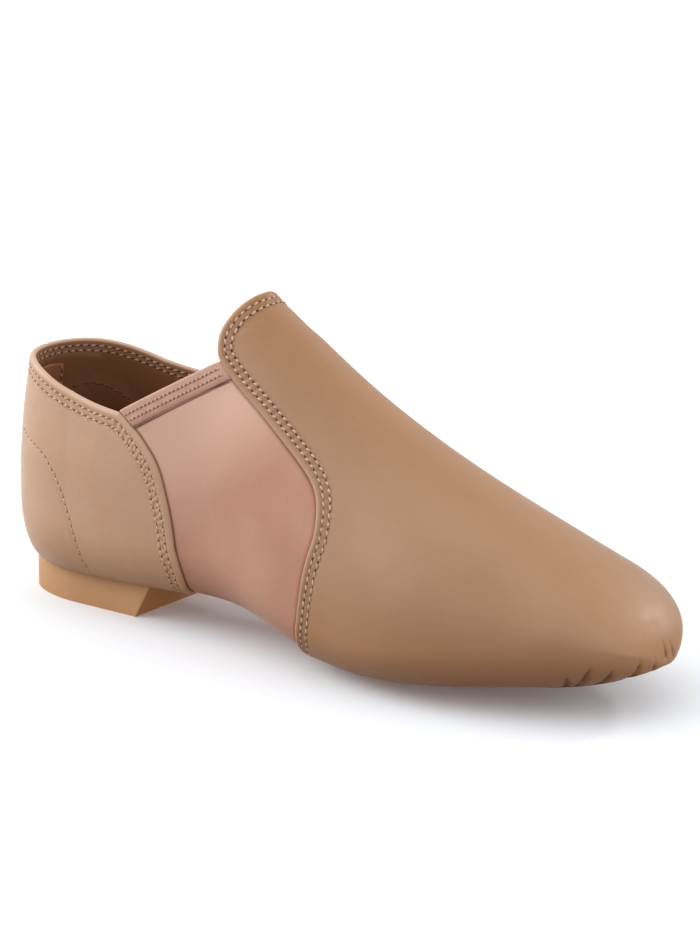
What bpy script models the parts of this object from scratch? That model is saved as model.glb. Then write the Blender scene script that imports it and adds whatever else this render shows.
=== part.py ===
import bpy
import bmesh
import numpy as np
from math import asin, cos, pi, sin
from mathutils import Vector

# Slip-on jazz shoe for the right foot. Toe at +X, wearer's right at -Y, floor at z = 0.
# Everything is worked out on the last: x runs from the heel back to the toe until place() centres it.

# Sizes of the last, in metres
LENGTH = 0.250          # heel back to toe tip
BALL = 0.086            # width across the ball
INSTEP = 0.1046         # height unit of the sections, floor of the upper to the ridge over the instep
TOE_SPRING = 0.0103     # lift of the upper's underside at the toe tip
TOE_TIP = 0.0175        # height of the foremost point of the toe

# Sizes of the pieces, in metres
GAP = 0.0003            # clearance between neighbouring pieces
WALL = 0.0018           # leather and its lining
GORE_STEP = 0.0008      # how far the leather stands proud of the stretch gore
FOREFOOT_SOLE = 0.0020  # thickness of the forefoot patch
HEEL_HEIGHT = 0.0113    # height of the heel block
HEEL_WIDTH = 0.0366     # width of the heel block
HEEL_REAR = 0.0028      # heel back to the rear of the block
HEEL_FRONT = 0.0626     # heel back to the top of the breast
HEEL_SLANT = 0.0063     # how far the breast leans back on its way down
HEEL_LIP = 0.0014       # how far the block's rim may climb round the seat
RIM_CLEAR = 0.0008      # how far the block's cupped rim keeps from the upper, level with the floor
EDGE = 0.0006           # chamfer round the bottom of heel and sole
INSOLE = 0.0025         # thickness of the sock
BAND_THICK = 0.0008     # folded band on the gore's top edge
BAND_NOTCH = 0.0020     # band's end short of the tongue
STRIP_WIDTH = 0.0146    # tape inside the back seam
STRIP_THICK = 0.0008

# Sections of the last. along is a share of LENGTH, lateral, medial and swing of BALL, wide and
# ridge of INSTEP above the underside and the sole plane, crown bends the upper half, and corner
# is the share of the half width that the bottom corner takes.
SECTION_COLUMNS = ("along", "lateral", "medial", "swing", "wide", "ridge", "crown", "corner")
SECTIONS = (
    (0.14, 0.335, 0.355, 0.000, 0.172, 1.150, 1.90, 0.35),
    (0.25, 0.346, 0.366, 0.010, 0.185, 1.110, 2.45, 0.38),
    (0.37, 0.328, 0.345, 0.020, 0.183, 1.070, 2.20, 0.56),
    (0.48, 0.398, 0.372, 0.020, 0.172, 0.912, 2.12, 0.58),
    (0.60, 0.462, 0.445, 0.025, 0.145, 0.733, 2.08, 0.43),
    (0.70, 0.494, 0.466, 0.032, 0.138, 0.612, 2.18, 0.41),
    (0.80, 0.452, 0.460, 0.045, 0.145, 0.503, 2.18, 0.46),
    (0.90, 0.376, 0.412, 0.062, 0.148, 0.390, 2.40, 0.54),
    (1.00, 0.340, 0.325, 0.075, 0.134, 0.310, 2.30, 0.60),
)

# Underside of the upper: rise is a share of the step from sole to heel seat.
UNDER_COLUMNS = ("along", "rise")
UNDER = (
    (0.00, 0.95), (0.12, 0.98), (0.24, 1.00), (0.33, 0.97), (0.41, 0.81),
    (0.49, 0.37), (0.55, 0.05), (0.60, 0.00), (0.72, 0.00), (1.00, 0.00),
)
SPRING_START = 0.62     # share of LENGTH where the toe starts to lift
SPRING_POWER = 1.3      # how the lift grows on its way to the tip

# Heel fan: behind this share of LENGTH the sections turn round a vertical line
FAN = 0.14
FAN_PLAN = 2.05         # exponent of the heel's plan curve
BACK_WIDE = 0.23        # share of INSTEP, height of the heel back's rearmost point
BACK_RIDGE = 1.15
BACK_CROWN = 2.70
BACK_CORNER = 0.20

# Toe cap: from here on the sections close in an oval
TOE_START = 0.8665
TOE_PLAN = 2.26
TOE_TOP = 2.33
TOE_LOW = 2.20

# Side view of the topline, as shares of LENGTH and INSTEP
TOPLINE_COLUMNS = ("along", "height")
TOPLINE = ((0.00, 0.776), (0.05, 0.769), (0.11, 0.735), (0.17, 0.704), (0.2286, 0.688))
GORE_TOP = ((0.2286, 0.688), (0.361, 0.877), (0.40, 0.930))

# Rows of the upper's grid. up is 0 under the foot, 0.2 where the bottom corner starts,
# 0.5 at the widest line and 1 on the ridge.
LOW_UP = (0.0, 0.09, 0.145, 0.20, 0.26, 0.32, 0.38, 0.44, 0.50)
MARGIN_ROW = 1          # row of LOW_UP that edges the openings underneath
PATCH_ROW = 2           # row that the forefoot patch reaches
SOCK_ROW = 4            # row that the insole reaches

# Seams as shares of LENGTH on each row: front edge of the quarter and rear edge of the vamp
QUARTER_LOW = (0.290, 0.298, 0.305, 0.312, 0.318, 0.322, 0.325, 0.3235, 0.319)
QUARTER_HIGH_COLUMNS = ("share", "along")
QUARTER_HIGH = (
    (0.00, 0.3190), (0.22, 0.3110), (0.38, 0.3030), (0.57, 0.2910),
    (0.70, 0.2760), (0.85, 0.2540), (1.00, 0.2286),
)
HIGH_SHARES = (0.14, 0.27, 0.40, 0.52, 0.64, 0.75, 0.851, 1.0)
VAMP_LOW = (0.526, 0.527, 0.528, 0.529, 0.531, 0.5345, 0.538, 0.5425, 0.5475)

# Upper half of the vamp's rear edge, then the tongue's top edge. toe_up is where each row ends
# at the toe, so that the rows fan out ahead of the seam.
VAMP_COLUMNS = ("up", "along", "toe_up")
VAMP_HIGH = (
    (0.595, 0.5575, 0.545), (0.650, 0.565, 0.590), (0.705, 0.557, 0.640), (0.732, 0.531, 0.690),
    (0.742, 0.484, 0.760), (0.746, 0.430, 0.820), (0.750, 0.3985, 0.860), (0.766, 0.368, 0.885),
)
TONGUE = (
    (0.790, 0.3575, 0.905), (0.820, 0.3550, 0.925), (0.855, 0.3590, 0.945),
    (0.895, 0.3650, 0.965), (0.945, 0.3730, 0.985), (1.000, 0.3770, 1.000),
)
ROW_FAN = 0.6           # below 1 the rows part early

# Columns of the grid
FAN_STEPS = 7
SIDE_STEPS = 4
GORE_STEPS = 6
VAMP_SHARES = (0.07, 0.15, 0.24, 0.34, 0.45, 0.56, 0.66, 0.75, 0.83, 0.895, 0.94, 0.97, 0.988, 0.9965, 1.0)

# Openings underneath, as shares of LENGTH
SEAT_OPEN = 0.20        # the heel seat is open behind this
FORE_OPEN = 0.575       # the forefoot is open ahead of this
TOE_OPEN = 0.915        # and closed again at the toe
PATCH_REAR = 0.560      # the forefoot patch covers its opening from here
PATCH_FRONT = 0.940     # to here
PATCH_REAR_ROUND = 8    # exponents of the patch's ends, the rear squarer than the front
PATCH_FRONT_ROUND = 5
SOCK_FRONT = 0.965      # front end of the insole

# Steps of the patch and of the heel block, along and across
PATCH_STEPS = (16, 10)
HEEL_STEPS = (14, 8)
HEEL_ROUND = 0.46       # share of the block's length taken by its rounded rear
HALVINGS = 40           # rounds of halving when a curve is searched
DOWNWARD = -0.7         # a face whose normal is below this looks at the floor


def spline(table, column):
    """Natural cubic curve through one column of a table against its first column."""
    xs = np.array([row[0] for row in table], float)
    ys = np.array([row[column] for row in table], float)
    count = len(xs)
    step = np.diff(xs)
    matrix = np.eye(count)
    slope = np.zeros(count)
    for i in range(1, count - 1):
        matrix[i, i - 1:i + 2] = step[i - 1], 2 * (step[i - 1] + step[i]), step[i]
        slope[i] = 3 * ((ys[i + 1] - ys[i]) / step[i] - (ys[i] - ys[i - 1]) / step[i - 1])
    bend = np.linalg.solve(matrix, slope)

    def value(x):
        i = min(max(int(np.searchsorted(xs, x)) - 1, 0), count - 2)
        t = x - xs[i]
        first = (ys[i + 1] - ys[i]) / step[i] - step[i] * (2 * bend[i] + bend[i + 1]) / 3
        third = (bend[i + 1] - bend[i]) / (3 * step[i])
        return float(ys[i] + first * t + bend[i] * t * t + third * t ** 3)
    return value


SECTION = {name: spline(SECTIONS, i) for i, name in enumerate(SECTION_COLUMNS) if i}
RISE = spline(UNDER, UNDER_COLUMNS.index("rise"))
QUARTER_TOP = spline(TOPLINE, TOPLINE_COLUMNS.index("height"))
QUARTER_EDGE = spline(QUARTER_HIGH, QUARTER_HIGH_COLUMNS.index("along"))


def toe_lift(along):
    return TOE_SPRING * (max(along - SPRING_START, 0.0) / (1 - SPRING_START)) ** SPRING_POWER


def under(along):
    """Height of the upper's underside on the centre line."""
    rise = max(RISE(along), 0.0)
    return FOREFOOT_SOLE + GAP + (HEEL_HEIGHT - FOREFOOT_SOLE) * rise + toe_lift(along)


def section(along):
    """Half widths and heights of the last's section at a share of its length."""
    s = {name: curve(along) for name, curve in SECTION.items()}
    closing = min(max((along - TOE_START) / (1 - TOE_START), 0.0), 1.0)
    plan, top, low = (max(1 - closing ** power, 0.0) ** 0.5 for power in (TOE_PLAN, TOE_TOP, TOE_LOW))
    bottom = under(along)
    wide = TOE_TIP + (bottom + INSTEP * s["wide"] - TOE_TIP) * top
    return {
        "lateral": BALL * s["lateral"] * plan,
        "medial": BALL * s["medial"] * plan,
        "swing": BALL * s["swing"],
        "bottom": TOE_TIP - (TOE_TIP - bottom) * low,
        "wide": wide,
        "ridge": TOE_TIP + (INSTEP * s["ridge"] - TOE_TIP) * top,
        "crown": s["crown"],
        "corner": s["corner"],
    }


def heel_back():
    """The centre line of the heel back, as a section seen from the side."""
    bottom = under(0.0)
    return {
        "bottom": bottom,
        "wide": bottom + INSTEP * BACK_WIDE,
        "ridge": INSTEP * BACK_RIDGE,
        "crown": BACK_CROWN,
        "corner": BACK_CORNER,
    }


def rib(s, up):
    """Share of the half width, and height, of a section at up."""
    if up <= 0.2:
        return (1 - s["corner"]) * up / 0.2, s["bottom"]
    if up <= 0.5:
        turn = (up - 0.2) / 0.3 * pi / 2
        return 1 - s["corner"] + s["corner"] * sin(turn), s["wide"] - (s["wide"] - s["bottom"]) * cos(turn)
    turn = (up - 0.5) / 0.5 * pi / 2
    return cos(turn), s["wide"] + (s["ridge"] - s["wide"]) * sin(turn) ** (2 / s["crown"])


def surface(along, side, up):
    """Point of the last's outer surface. side is -1 for lateral and 1 for medial."""
    s = section(max(along, FAN))
    reach, height = rib(s, up)
    y = reach * s["medial" if side > 0 else "lateral"]
    if along >= FAN:
        return Vector((along * LENGTH, s["swing"] + side * y, height))
    turn = along / FAN * pi / 2
    back = heel_back()
    back_reach, back_height = rib(back, up)
    x = FAN * LENGTH * (1 - back_reach * cos(turn) ** (2 / FAN_PLAN))
    y *= sin(turn) ** (2 / FAN_PLAN)
    return Vector((x, s["swing"] + side * y, height * sin(turn) ** 2 + back_height * cos(turn) ** 2))


def underside(x, y):
    """Height of the upper's underside over a point of the floor, found by halving."""
    s = section(max(x / LENGTH, FAN))
    back = heel_back()
    across = abs(y - s["swing"]) / s["medial" if y > s["swing"] else "lateral"]
    behind = max(1 - x / (FAN * LENGTH), 0.0)
    low, high = 0.0, 0.5
    for _ in range(HALVINGS):
        up = (low + high) / 2
        side_share = (across / max(rib(s, up)[0], GAP)) ** FAN_PLAN
        back_share = (behind / max(rib(back, up)[0], GAP)) ** FAN_PLAN
        if side_share + back_share > 1:
            low = up
        else:
            high = up
    side_share = min(side_share, 1.0) if behind else 1.0
    return rib(s, up)[1] * side_share + rib(back, up)[1] * (1 - side_share)


def gore_top(along):
    heights = [height for _, height in GORE_TOP]
    return float(np.interp(along, [a for a, _ in GORE_TOP], heights))


def topline_up(along, side, height):
    """Where the rib at along meets the topline, found by halving."""
    low, high = 0.5, 0.98
    for _ in range(HALVINGS):
        middle = (low + high) / 2
        point = surface(along, side, middle)
        if point.z < INSTEP * height(point.x / LENGTH):
            low = middle
        else:
            high = middle
    return (low + high) / 2


def centre_of_plan():
    """Middle of the last's plan, where the origin goes."""
    stations = [surface(a, side, 0.5).y for side in (-1, 1) for a in np.linspace(FAN, 0.95, 60)]
    return Vector((LENGTH / 2, (min(stations) + max(stations)) / 2, 0.0))


CENTRE = centre_of_plan()


def grid_columns(side):
    """Columns of the upper's grid on one side: (panel, [(along, up) from the bottom to the top])."""
    strip_turn = asin(STRIP_WIDTH / 2 / (BALL * SECTION["lateral"](FAN)))
    turns = [0.0] + [strip_turn + (pi / 2 - strip_turn) * k / FAN_STEPS for k in range(FAN_STEPS + 1)]
    quarter_top = topline_up(QUARTER_HIGH[-1][1], side, QUARTER_TOP)
    quarter = list(zip(QUARTER_LOW, LOW_UP))
    quarter += [(QUARTER_EDGE(share), 0.5 + (quarter_top - 0.5) * share) for share in HIGH_SHARES]
    vamp = list(zip(VAMP_LOW, LOW_UP)) + [(along, up) for up, along, _ in VAMP_HIGH]
    tongue = [(along, up) for up, along, _ in TONGUE]

    columns = []
    for turn in turns[:-1]:
        along = FAN * turn / (pi / 2)
        top = topline_up(along, side, QUARTER_TOP)
        ups = list(LOW_UP) + [0.5 + (top - 0.5) * share for share in HIGH_SHARES]
        columns.append(("quarter", [(along, up) for up in ups]))
    for k in range(SIDE_STEPS + 1):
        share = k / SIDE_STEPS
        edge = [FAN + (along - FAN) * share for along, _ in quarter]
        top = quarter_top if k == SIDE_STEPS else topline_up(edge[-1], side, QUARTER_TOP)
        ups = list(LOW_UP) + [0.5 + (top - 0.5) * part for part in HIGH_SHARES]
        columns.append(("quarter", list(zip(edge, ups))))
    for k in range(1, GORE_STEPS + 1):
        share = k / GORE_STEPS
        line = [(a + (b - a) * share, s + (t - s) * share) for (a, s), (b, t) in zip(quarter, vamp)]
        extra = 0.0 if k == GORE_STEPS else topline_up(line[-1][0], side, gore_top) - line[-1][1]
        parts = [0.0] * len(LOW_UP) + list(HIGH_SHARES)
        column = [(along, up + extra * part) for (along, up), part in zip(line, parts)]
        columns.append(("gore", column if k < GORE_STEPS else column + tongue))
    seam = vamp + tongue
    toe_ups = list(LOW_UP) + [toe_up for _, _, toe_up in VAMP_HIGH + TONGUE]
    for share in VAMP_SHARES:
        fan = share ** ROW_FAN
        line = [(a + (1 - a) * share, s + (t - s) * fan) for (a, s), t in zip(seam, toe_ups)]
        columns.append(("vamp", line))
    return columns


class Sheet:
    """Welded grid on the last, from which the upper and all that follows it are made."""

    def __init__(self):
        self.points = []
        self.faces = []         # (panel, side, column, row, vertices)
        self.at = {}            # vertex at (side, column, row)
        self.places = {}
        self.columns = {side: grid_columns(side) for side in (-1, 1)}
        for side, columns in self.columns.items():
            for i, (_, column) in enumerate(columns):
                for row, (along, up) in enumerate(column):
                    self.at[side, i, row] = self.vertex(surface(along, side, up))
            for i in range(len(columns) - 1):
                panel = columns[i + 1][0]
                rows = min(len(columns[i][1]), len(columns[i + 1][1])) - 1
                for row in range(rows):
                    self.face(panel, side, i, row)
        self.normals = self.vertex_normals()

    def vertex(self, point):
        key = tuple(round(value, 6) for value in point)
        if key not in self.places:
            self.places[key] = len(self.points)
            self.points.append(point)
        return self.places[key]

    def face(self, panel, side, i, row):
        corners = [self.at[side, i, row], self.at[side, i + 1, row],
                   self.at[side, i + 1, row + 1], self.at[side, i, row + 1]]
        loop = [v for k, v in enumerate(corners) if v != corners[k - 1]]
        if len(set(loop)) < 3:
            return
        self.faces.append((panel, side, i, row, loop if side < 0 else loop[::-1]))

    def vertex_normals(self):
        mesh = bmesh.new()
        verts = [mesh.verts.new(point) for point in self.points]
        for face in self.faces:
            mesh.faces.new([verts[v] for v in face[4]])
        mesh.normal_update()
        normals = [vert.normal.copy() for vert in verts]
        mesh.free()
        return normals

    def offset(self, depth):
        """Points moved inwards by depth, along the sheet's normals."""
        return [point - normal * depth for point, normal in zip(self.points, self.normals)]

    def along(self, side, column, row):
        return self.columns[side][column][1][row][0]


def place(point):
    return point - CENTRE


def material(name, colour, roughness):
    finish = bpy.data.materials.new(name)
    finish.use_nodes = True
    shader = finish.node_tree.nodes["Principled BSDF"]
    shader.inputs["Base Color"].default_value = (*colour, 1.0)
    shader.inputs["Roughness"].default_value = roughness
    shader.inputs["Metallic"].default_value = 0.0
    finish.diffuse_color = (*colour, 1.0)
    return finish


def add_object(name, mesh, finish, crease=0.7):
    """Close the mesh off as an object, shaded smooth but for its real edges."""
    bmesh.ops.recalc_face_normals(mesh, faces=mesh.faces[:])
    data = bpy.data.meshes.new(name)
    mesh.to_mesh(data)
    mesh.free()
    data.shade_smooth()
    data.set_sharp_from_angle(angle=crease)
    data.materials.append(finish)
    item = bpy.data.objects.new(name, data)
    bpy.context.collection.objects.link(item)
    return item


def thick_sheet(faces, front, back, lowered=None):
    """Closed wall between two copies of a sheet.

    faces holds (vertices, low) pairs. A low face takes its front points from lowered, and a step
    joins it to its neighbours that aren't low.
    """
    mesh = bmesh.new()
    made = {}

    def vert(layer, index):
        if (layer, index) not in made:
            source = {"front": front, "back": back, "low": lowered}[layer]
            made[layer, index] = mesh.verts.new(place(source[index]))
        return made[layer, index]

    edges = {}
    for loop, low in faces:
        layer = "low" if low else "front"
        mesh.faces.new([vert(layer, v) for v in loop])
        mesh.faces.new([vert("back", v) for v in reversed(loop)])
        for a, b in zip(loop, loop[1:] + loop[:1]):
            edges.setdefault(frozenset((a, b)), []).append((a, b, layer))
    rim = {}
    stepped = set()
    for uses in edges.values():
        a, b, layer = uses[0]
        if len(uses) == 1:
            mesh.faces.new([vert(layer, b), vert(layer, a), vert("back", a), vert("back", b)])
            rim.setdefault(a, set()).add(layer)
            rim.setdefault(b, set()).add(layer)
        elif uses[1][2] != layer:
            mesh.faces.new([vert("front", a), vert("front", b), vert("low", b), vert("low", a)])
            stepped.update((a, b))
    for index, layers in rim.items():
        if index in stepped and len(layers) == 2:
            mesh.faces.new([vert("front", index), vert("low", index), vert("back", index)])
    return mesh


def slab(top, bottom):
    """Closed solid between two grids of points with the same rows."""
    mesh = bmesh.new()
    made = {}

    def vert(layer, i, j):
        point = place((top, bottom)[layer][i][j])
        key = (layer, *(round(value, 6) for value in point))
        if key not in made:
            made[key] = mesh.verts.new(point)
        return made[key]

    def face(*corners):
        verts = []
        for corner in corners:
            if not verts or corner is not verts[-1] and corner is not verts[0]:
                verts.append(corner)
        if len(verts) > 2:
            mesh.faces.new(verts)

    last, side = len(top) - 1, len(top[0]) - 1
    for i in range(last):
        for j in range(side):
            for layer in (0, 1):
                near = vert(layer, i, j), vert(layer, i + 1, j)
                face(*near, vert(layer, i + 1, j + 1), vert(layer, i, j + 1))
        for j in (0, side):
            face(vert(0, i, j), vert(0, i + 1, j), vert(1, i + 1, j), vert(1, i, j))
    for i in (0, last):
        for j in range(side):
            face(vert(0, i, j), vert(0, i, j + 1), vert(1, i, j + 1), vert(1, i, j))
    return mesh


def chamfer_foot(mesh, depth):
    """Chamfer the edge round the flat underside."""
    bmesh.ops.recalc_face_normals(mesh, faces=mesh.faces[:])
    mesh.normal_update()
    rim = []
    for edge in mesh.edges:
        downs = [face.normal.z < DOWNWARD for face in edge.link_faces]
        if len(downs) == 2 and downs[0] != downs[1]:
            rim.append(edge)
    bmesh.ops.bevel(mesh, geom=rim, offset=depth, segments=1, affect="EDGES", clamp_overlap=True)


def make_upper(sheet, finish):
    """Vamp, stretch gore and quarters as one hollow wall, open at the collar and over heel and sole."""
    faces = []
    for panel, side, column, row, loop in sheet.faces:
        rear, front = sheet.along(side, column, row), sheet.along(side, column + 1, row)
        if row < MARGIN_ROW and (front <= SEAT_OPEN or rear >= FORE_OPEN and front <= TOE_OPEN):
            continue
        faces.append((loop, panel == "gore"))
    wall = thick_sheet(faces, sheet.points, sheet.offset(WALL), sheet.offset(GORE_STEP))
    return add_object("upper", wall, finish)


def make_insole(sheet, finish):
    """Sock that lies on the upper's floor from heel to toe."""
    faces = [(loop, False) for _, side, column, row, loop in sheet.faces
             if row < SOCK_ROW and sheet.along(side, column + 1, row) <= SOCK_FRONT]
    sock = thick_sheet(faces, sheet.offset(WALL + GAP), sheet.offset(WALL + GAP + INSOLE))
    return add_object("insole", sock, finish)


def make_back_strip(sheet, finish):
    """Tape over the back seam, inside the quarters."""
    first = len(LOW_UP) + 1
    top = len(LOW_UP) + len(HIGH_SHARES) - 2
    faces = [(loop, False) for _, _, column, row, loop in sheet.faces
             if column == 0 and first <= row < top]
    tape = thick_sheet(faces, sheet.offset(WALL + GAP), sheet.offset(WALL + GAP + STRIP_THICK))
    return add_object("back_strip", tape, finish)


def patch_reach(along):
    """Half widths of the forefoot patch at a station, on both sides."""
    s = section(along)
    reach, _ = rib(s, LOW_UP[PATCH_ROW])
    return s["swing"], s["lateral"] * reach, s["medial"] * reach


def make_forefoot_sole(finish):
    """Thin patch under the ball and toes, set in from the upper's edge."""
    steps, across = PATCH_STEPS
    top, bottom = [], []
    middle, half_length = (PATCH_REAR + PATCH_FRONT) / 2, (PATCH_FRONT - PATCH_REAR) / 2
    for i in range(steps + 1):
        along = middle - half_length * cos(pi * i / steps)
        swing, lateral, medial = patch_reach(along)
        inner = abs((along - middle) / half_length)
        power = PATCH_REAR_ROUND if along < middle else PATCH_FRONT_ROUND
        round_off = max(1 - inner ** power, 0.0) ** 0.5
        floor = toe_lift(along) + section(along)["bottom"] - under(along)
        upper_row, lower_row = [], []
        for j in range(across + 1):
            share = -1 + 2 * j / across
            y = swing + share * round_off * (medial if share > 0 else lateral)
            x = along * LENGTH
            upper_row.append(Vector((x, y, underside(x, y) - GAP)))
            lower_row.append(Vector((x, y, floor)))
        top.append(upper_row)
        bottom.append(lower_row)
    mesh = slab(top, bottom)
    chamfer_foot(mesh, EDGE)
    return add_object("forefoot_sole", mesh, finish, crease=0.5)


def make_heel(finish):
    """Low block with a rounded rear, a straight breast that leans back and a flat underside."""
    steps, across = HEEL_STEPS
    rear_length = (HEEL_FRONT - HEEL_REAR) * HEEL_ROUND
    seat = HEEL_HEIGHT + HEEL_LIP
    top, bottom = [], []
    for i in range(steps + 1):
        if i <= steps // 2:
            turn = pi / 2 * i / (steps // 2)
            x = HEEL_REAR + rear_length * (1 - cos(turn))
            half = HEEL_WIDTH / 2 * sin(turn)
        else:
            share = (i - steps // 2) / (steps - steps // 2)
            x = HEEL_REAR + rear_length + (HEEL_FRONT - HEEL_REAR - rear_length) * share
            half = HEEL_WIDTH / 2
        lean = HEEL_SLANT * max((x - HEEL_REAR - rear_length) / (HEEL_FRONT - HEEL_REAR - rear_length), 0.0)
        upper_row, lower_row = [], []
        for j in range(across + 1):
            y = half * (-1 + 2 * j / across)
            inner_x = max(x, min(x + RIM_CLEAR, FAN * LENGTH))
            inner_y = y * (1 - 2 * RIM_CLEAR / HEEL_WIDTH)
            upper_row.append(Vector((x, y, min(underside(inner_x, inner_y) - GAP, seat))))
            lower_row.append(Vector((x - lean, y, 0.0)))
        top.append(upper_row)
        bottom.append(lower_row)
    mesh = slab(top, bottom)
    chamfer_foot(mesh, EDGE)
    return add_object("heel", mesh, finish, crease=0.5)


def walk(points, values, distance):
    """Point and value at a distance along a polyline."""
    for (a, b), (u, v) in zip(zip(points, points[1:]), zip(values, values[1:])):
        step = (b - a).length
        if distance <= step:
            return a.lerp(b, distance / step), u.lerp(v, distance / step)
        distance -= step
    return points[-1], values[-1]


def make_gore_band(name, sheet, side, finish):
    """Folded band that rides over the gore's top edge, one leg outside and one inside."""
    columns = [panel for panel, _ in sheet.columns[side]]
    first = columns.index("gore") - 1
    last = columns.index("vamp") - 1
    top = len(LOW_UP) + len(HIGH_SHARES) - 1
    lanes = []
    for row in (top - 1, top):
        index = [sheet.at[side, column, row] for column in range(first, last + 1)]
        points = [sheet.points[v] for v in index]
        normals = [sheet.normals[v] for v in index]
        start = walk(points, normals, GAP)
        end = walk(points[::-1], normals[::-1], BAND_NOTCH)
        inner = list(zip(points, normals))[1:-1]
        lanes.append([start] + inner + [end])
    outer_rail, inner_rail = [], []
    for (low, low_normal), (high, high_normal) in zip(*lanes):
        rise = (high - low).normalized()
        outside = GORE_STEP - GAP
        inside = WALL + GAP
        near = [low - low_normal * outside, high - high_normal * outside]
        far = [high - high_normal * inside, low - low_normal * inside]
        lift = rise * GAP
        inner_rail.append([near[0], near[1] + lift, far[0] + lift, far[1]])
        near = [low - low_normal * (outside - BAND_THICK), high - high_normal * (outside - BAND_THICK)]
        far = [high - high_normal * (inside + BAND_THICK), low - low_normal * (inside + BAND_THICK)]
        lift = rise * (GAP + BAND_THICK)
        outer_rail.append([near[0], near[1] + lift, far[0] + lift, far[1]])
    return add_object(name, slab(outer_rail, inner_rail), finish)


def main():
    for item in list(bpy.data.objects):
        bpy.data.objects.remove(item, do_unlink=True)
    leather = material("tan leather", (0.42, 0.25, 0.135), 0.5)
    rubber = material("tan rubber", (0.47, 0.27, 0.13), 0.6)
    suede = material("brown suede", (0.22, 0.12, 0.06), 0.9)
    lining = material("dark lining", (0.10, 0.05, 0.03), 0.85)
    stretch = material("pink elastic", (0.50, 0.27, 0.20), 0.8)

    sheet = Sheet()
    make_upper(sheet, leather)
    make_insole(sheet, lining)
    make_forefoot_sole(suede)
    make_heel(rubber)
    make_back_strip(sheet, lining)
    make_gore_band("gore_band_lateral", sheet, -1, stretch)
    make_gore_band("gore_band_medial", sheet, 1, stretch)


main()
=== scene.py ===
from contextlib import contextmanager
from math import cos, pi, radians, sin

import bpy
import numpy as np
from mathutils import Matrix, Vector
from mathutils.bvhtree import BVHTree


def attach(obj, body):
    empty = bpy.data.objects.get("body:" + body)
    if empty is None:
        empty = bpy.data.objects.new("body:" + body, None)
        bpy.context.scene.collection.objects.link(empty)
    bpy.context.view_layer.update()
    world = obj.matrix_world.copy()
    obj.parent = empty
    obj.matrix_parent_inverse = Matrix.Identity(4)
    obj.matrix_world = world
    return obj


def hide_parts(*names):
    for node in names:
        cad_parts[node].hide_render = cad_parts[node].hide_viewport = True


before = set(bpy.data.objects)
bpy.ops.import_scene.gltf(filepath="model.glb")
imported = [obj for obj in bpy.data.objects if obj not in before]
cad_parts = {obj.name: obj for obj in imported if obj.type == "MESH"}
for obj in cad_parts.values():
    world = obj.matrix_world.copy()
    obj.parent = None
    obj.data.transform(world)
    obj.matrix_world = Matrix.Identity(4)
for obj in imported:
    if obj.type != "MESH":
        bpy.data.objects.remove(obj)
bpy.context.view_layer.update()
mm = 0.001


def metres(**sizes):
    # sizes given in mm, as metres
    return {name: tuple(v * mm for v in size) if isinstance(size, tuple) else size * mm
            for name, size in sizes.items()}


# camera
view = {
    "azimuth": 37.67, "elevation": 16.98, "distance": 1.6,
    "aim": (-0.001, -0.0019, 0.045),
    "lens": 191.9, "sensor": 36.0, "shiftX": 0.0196, "shiftY": 0.0467,
}


def setUp(name, data, place, away):
    # a camera or lamp at its place, its back turned away from the shoe
    thing = bpy.data.objects.new(name, data)
    bpy.context.collection.objects.link(thing)
    thing.location, thing.rotation_euler = place, away.to_track_quat("Z", "Y").to_euler()
    return thing


def addCamera():
    turn, rise = radians(view["azimuth"]), radians(view["elevation"])
    away = Vector((sin(turn) * cos(rise), -cos(turn) * cos(rise), sin(rise)))
    data = bpy.data.cameras.new("camera")
    data.sensor_fit = "VERTICAL"
    data.sensor_height, data.lens = view["sensor"], view["lens"]
    data.shift_x, data.shift_y = view["shiftX"], view["shiftY"]
    bpy.context.scene.camera = setUp("camera", data, Vector(view["aim"]) + away * view["distance"], away)


addCamera()
print("camera placed")

# shape of the last
# The same form as the solids have. x runs from the heel back to the toe, in metres.
last = {
    "length": 0.250, "ball": 0.086, "instep": 0.1046, "toeSpring": 0.0103, "springStart": 0.62,
    "springPower": 1.3, "toeTip": 0.0175, "soleLevel": 0.0023, "seatStep": 0.0093,
    "fan": 0.14, "fanPlan": 2.05, "backWide": 0.23, "backRidge": 1.15, "backCrown": 2.70,
    "backCorner": 0.20, "toeStart": 0.8665, "toePlan": 2.26, "toeTop": 2.33, "toeLow": 2.20,
}
sectionNames = ("along", "lateral", "medial", "swing", "wide", "ridge", "crown", "corner")
sections = (
    (0.14, 0.335, 0.355, 0.000, 0.172, 1.150, 1.90, 0.35),
    (0.25, 0.346, 0.366, 0.010, 0.185, 1.110, 2.45, 0.38),
    (0.37, 0.328, 0.345, 0.020, 0.183, 1.070, 2.20, 0.56),
    (0.48, 0.398, 0.372, 0.020, 0.172, 0.912, 2.12, 0.58),
    (0.60, 0.462, 0.445, 0.025, 0.145, 0.733, 2.08, 0.43),
    (0.70, 0.494, 0.466, 0.032, 0.138, 0.612, 2.18, 0.41),
    (0.80, 0.452, 0.460, 0.045, 0.145, 0.503, 2.18, 0.46),
    (0.90, 0.376, 0.412, 0.062, 0.148, 0.390, 2.40, 0.54),
    (1.00, 0.340, 0.325, 0.075, 0.134, 0.310, 2.30, 0.60),
)
underside = (
    (0.00, 0.95), (0.12, 0.98), (0.24, 1.00), (0.33, 0.97), (0.41, 0.81),
    (0.49, 0.37), (0.55, 0.05), (0.60, 0.00), (0.72, 0.00), (1.00, 0.00),
)
topline = ((0.00, 0.776), (0.05, 0.769), (0.11, 0.735), (0.17, 0.704), (0.2286, 0.688))
goreTop = ((0.2286, 0.688), (0.361, 0.877), (0.40, 0.930))

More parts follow.
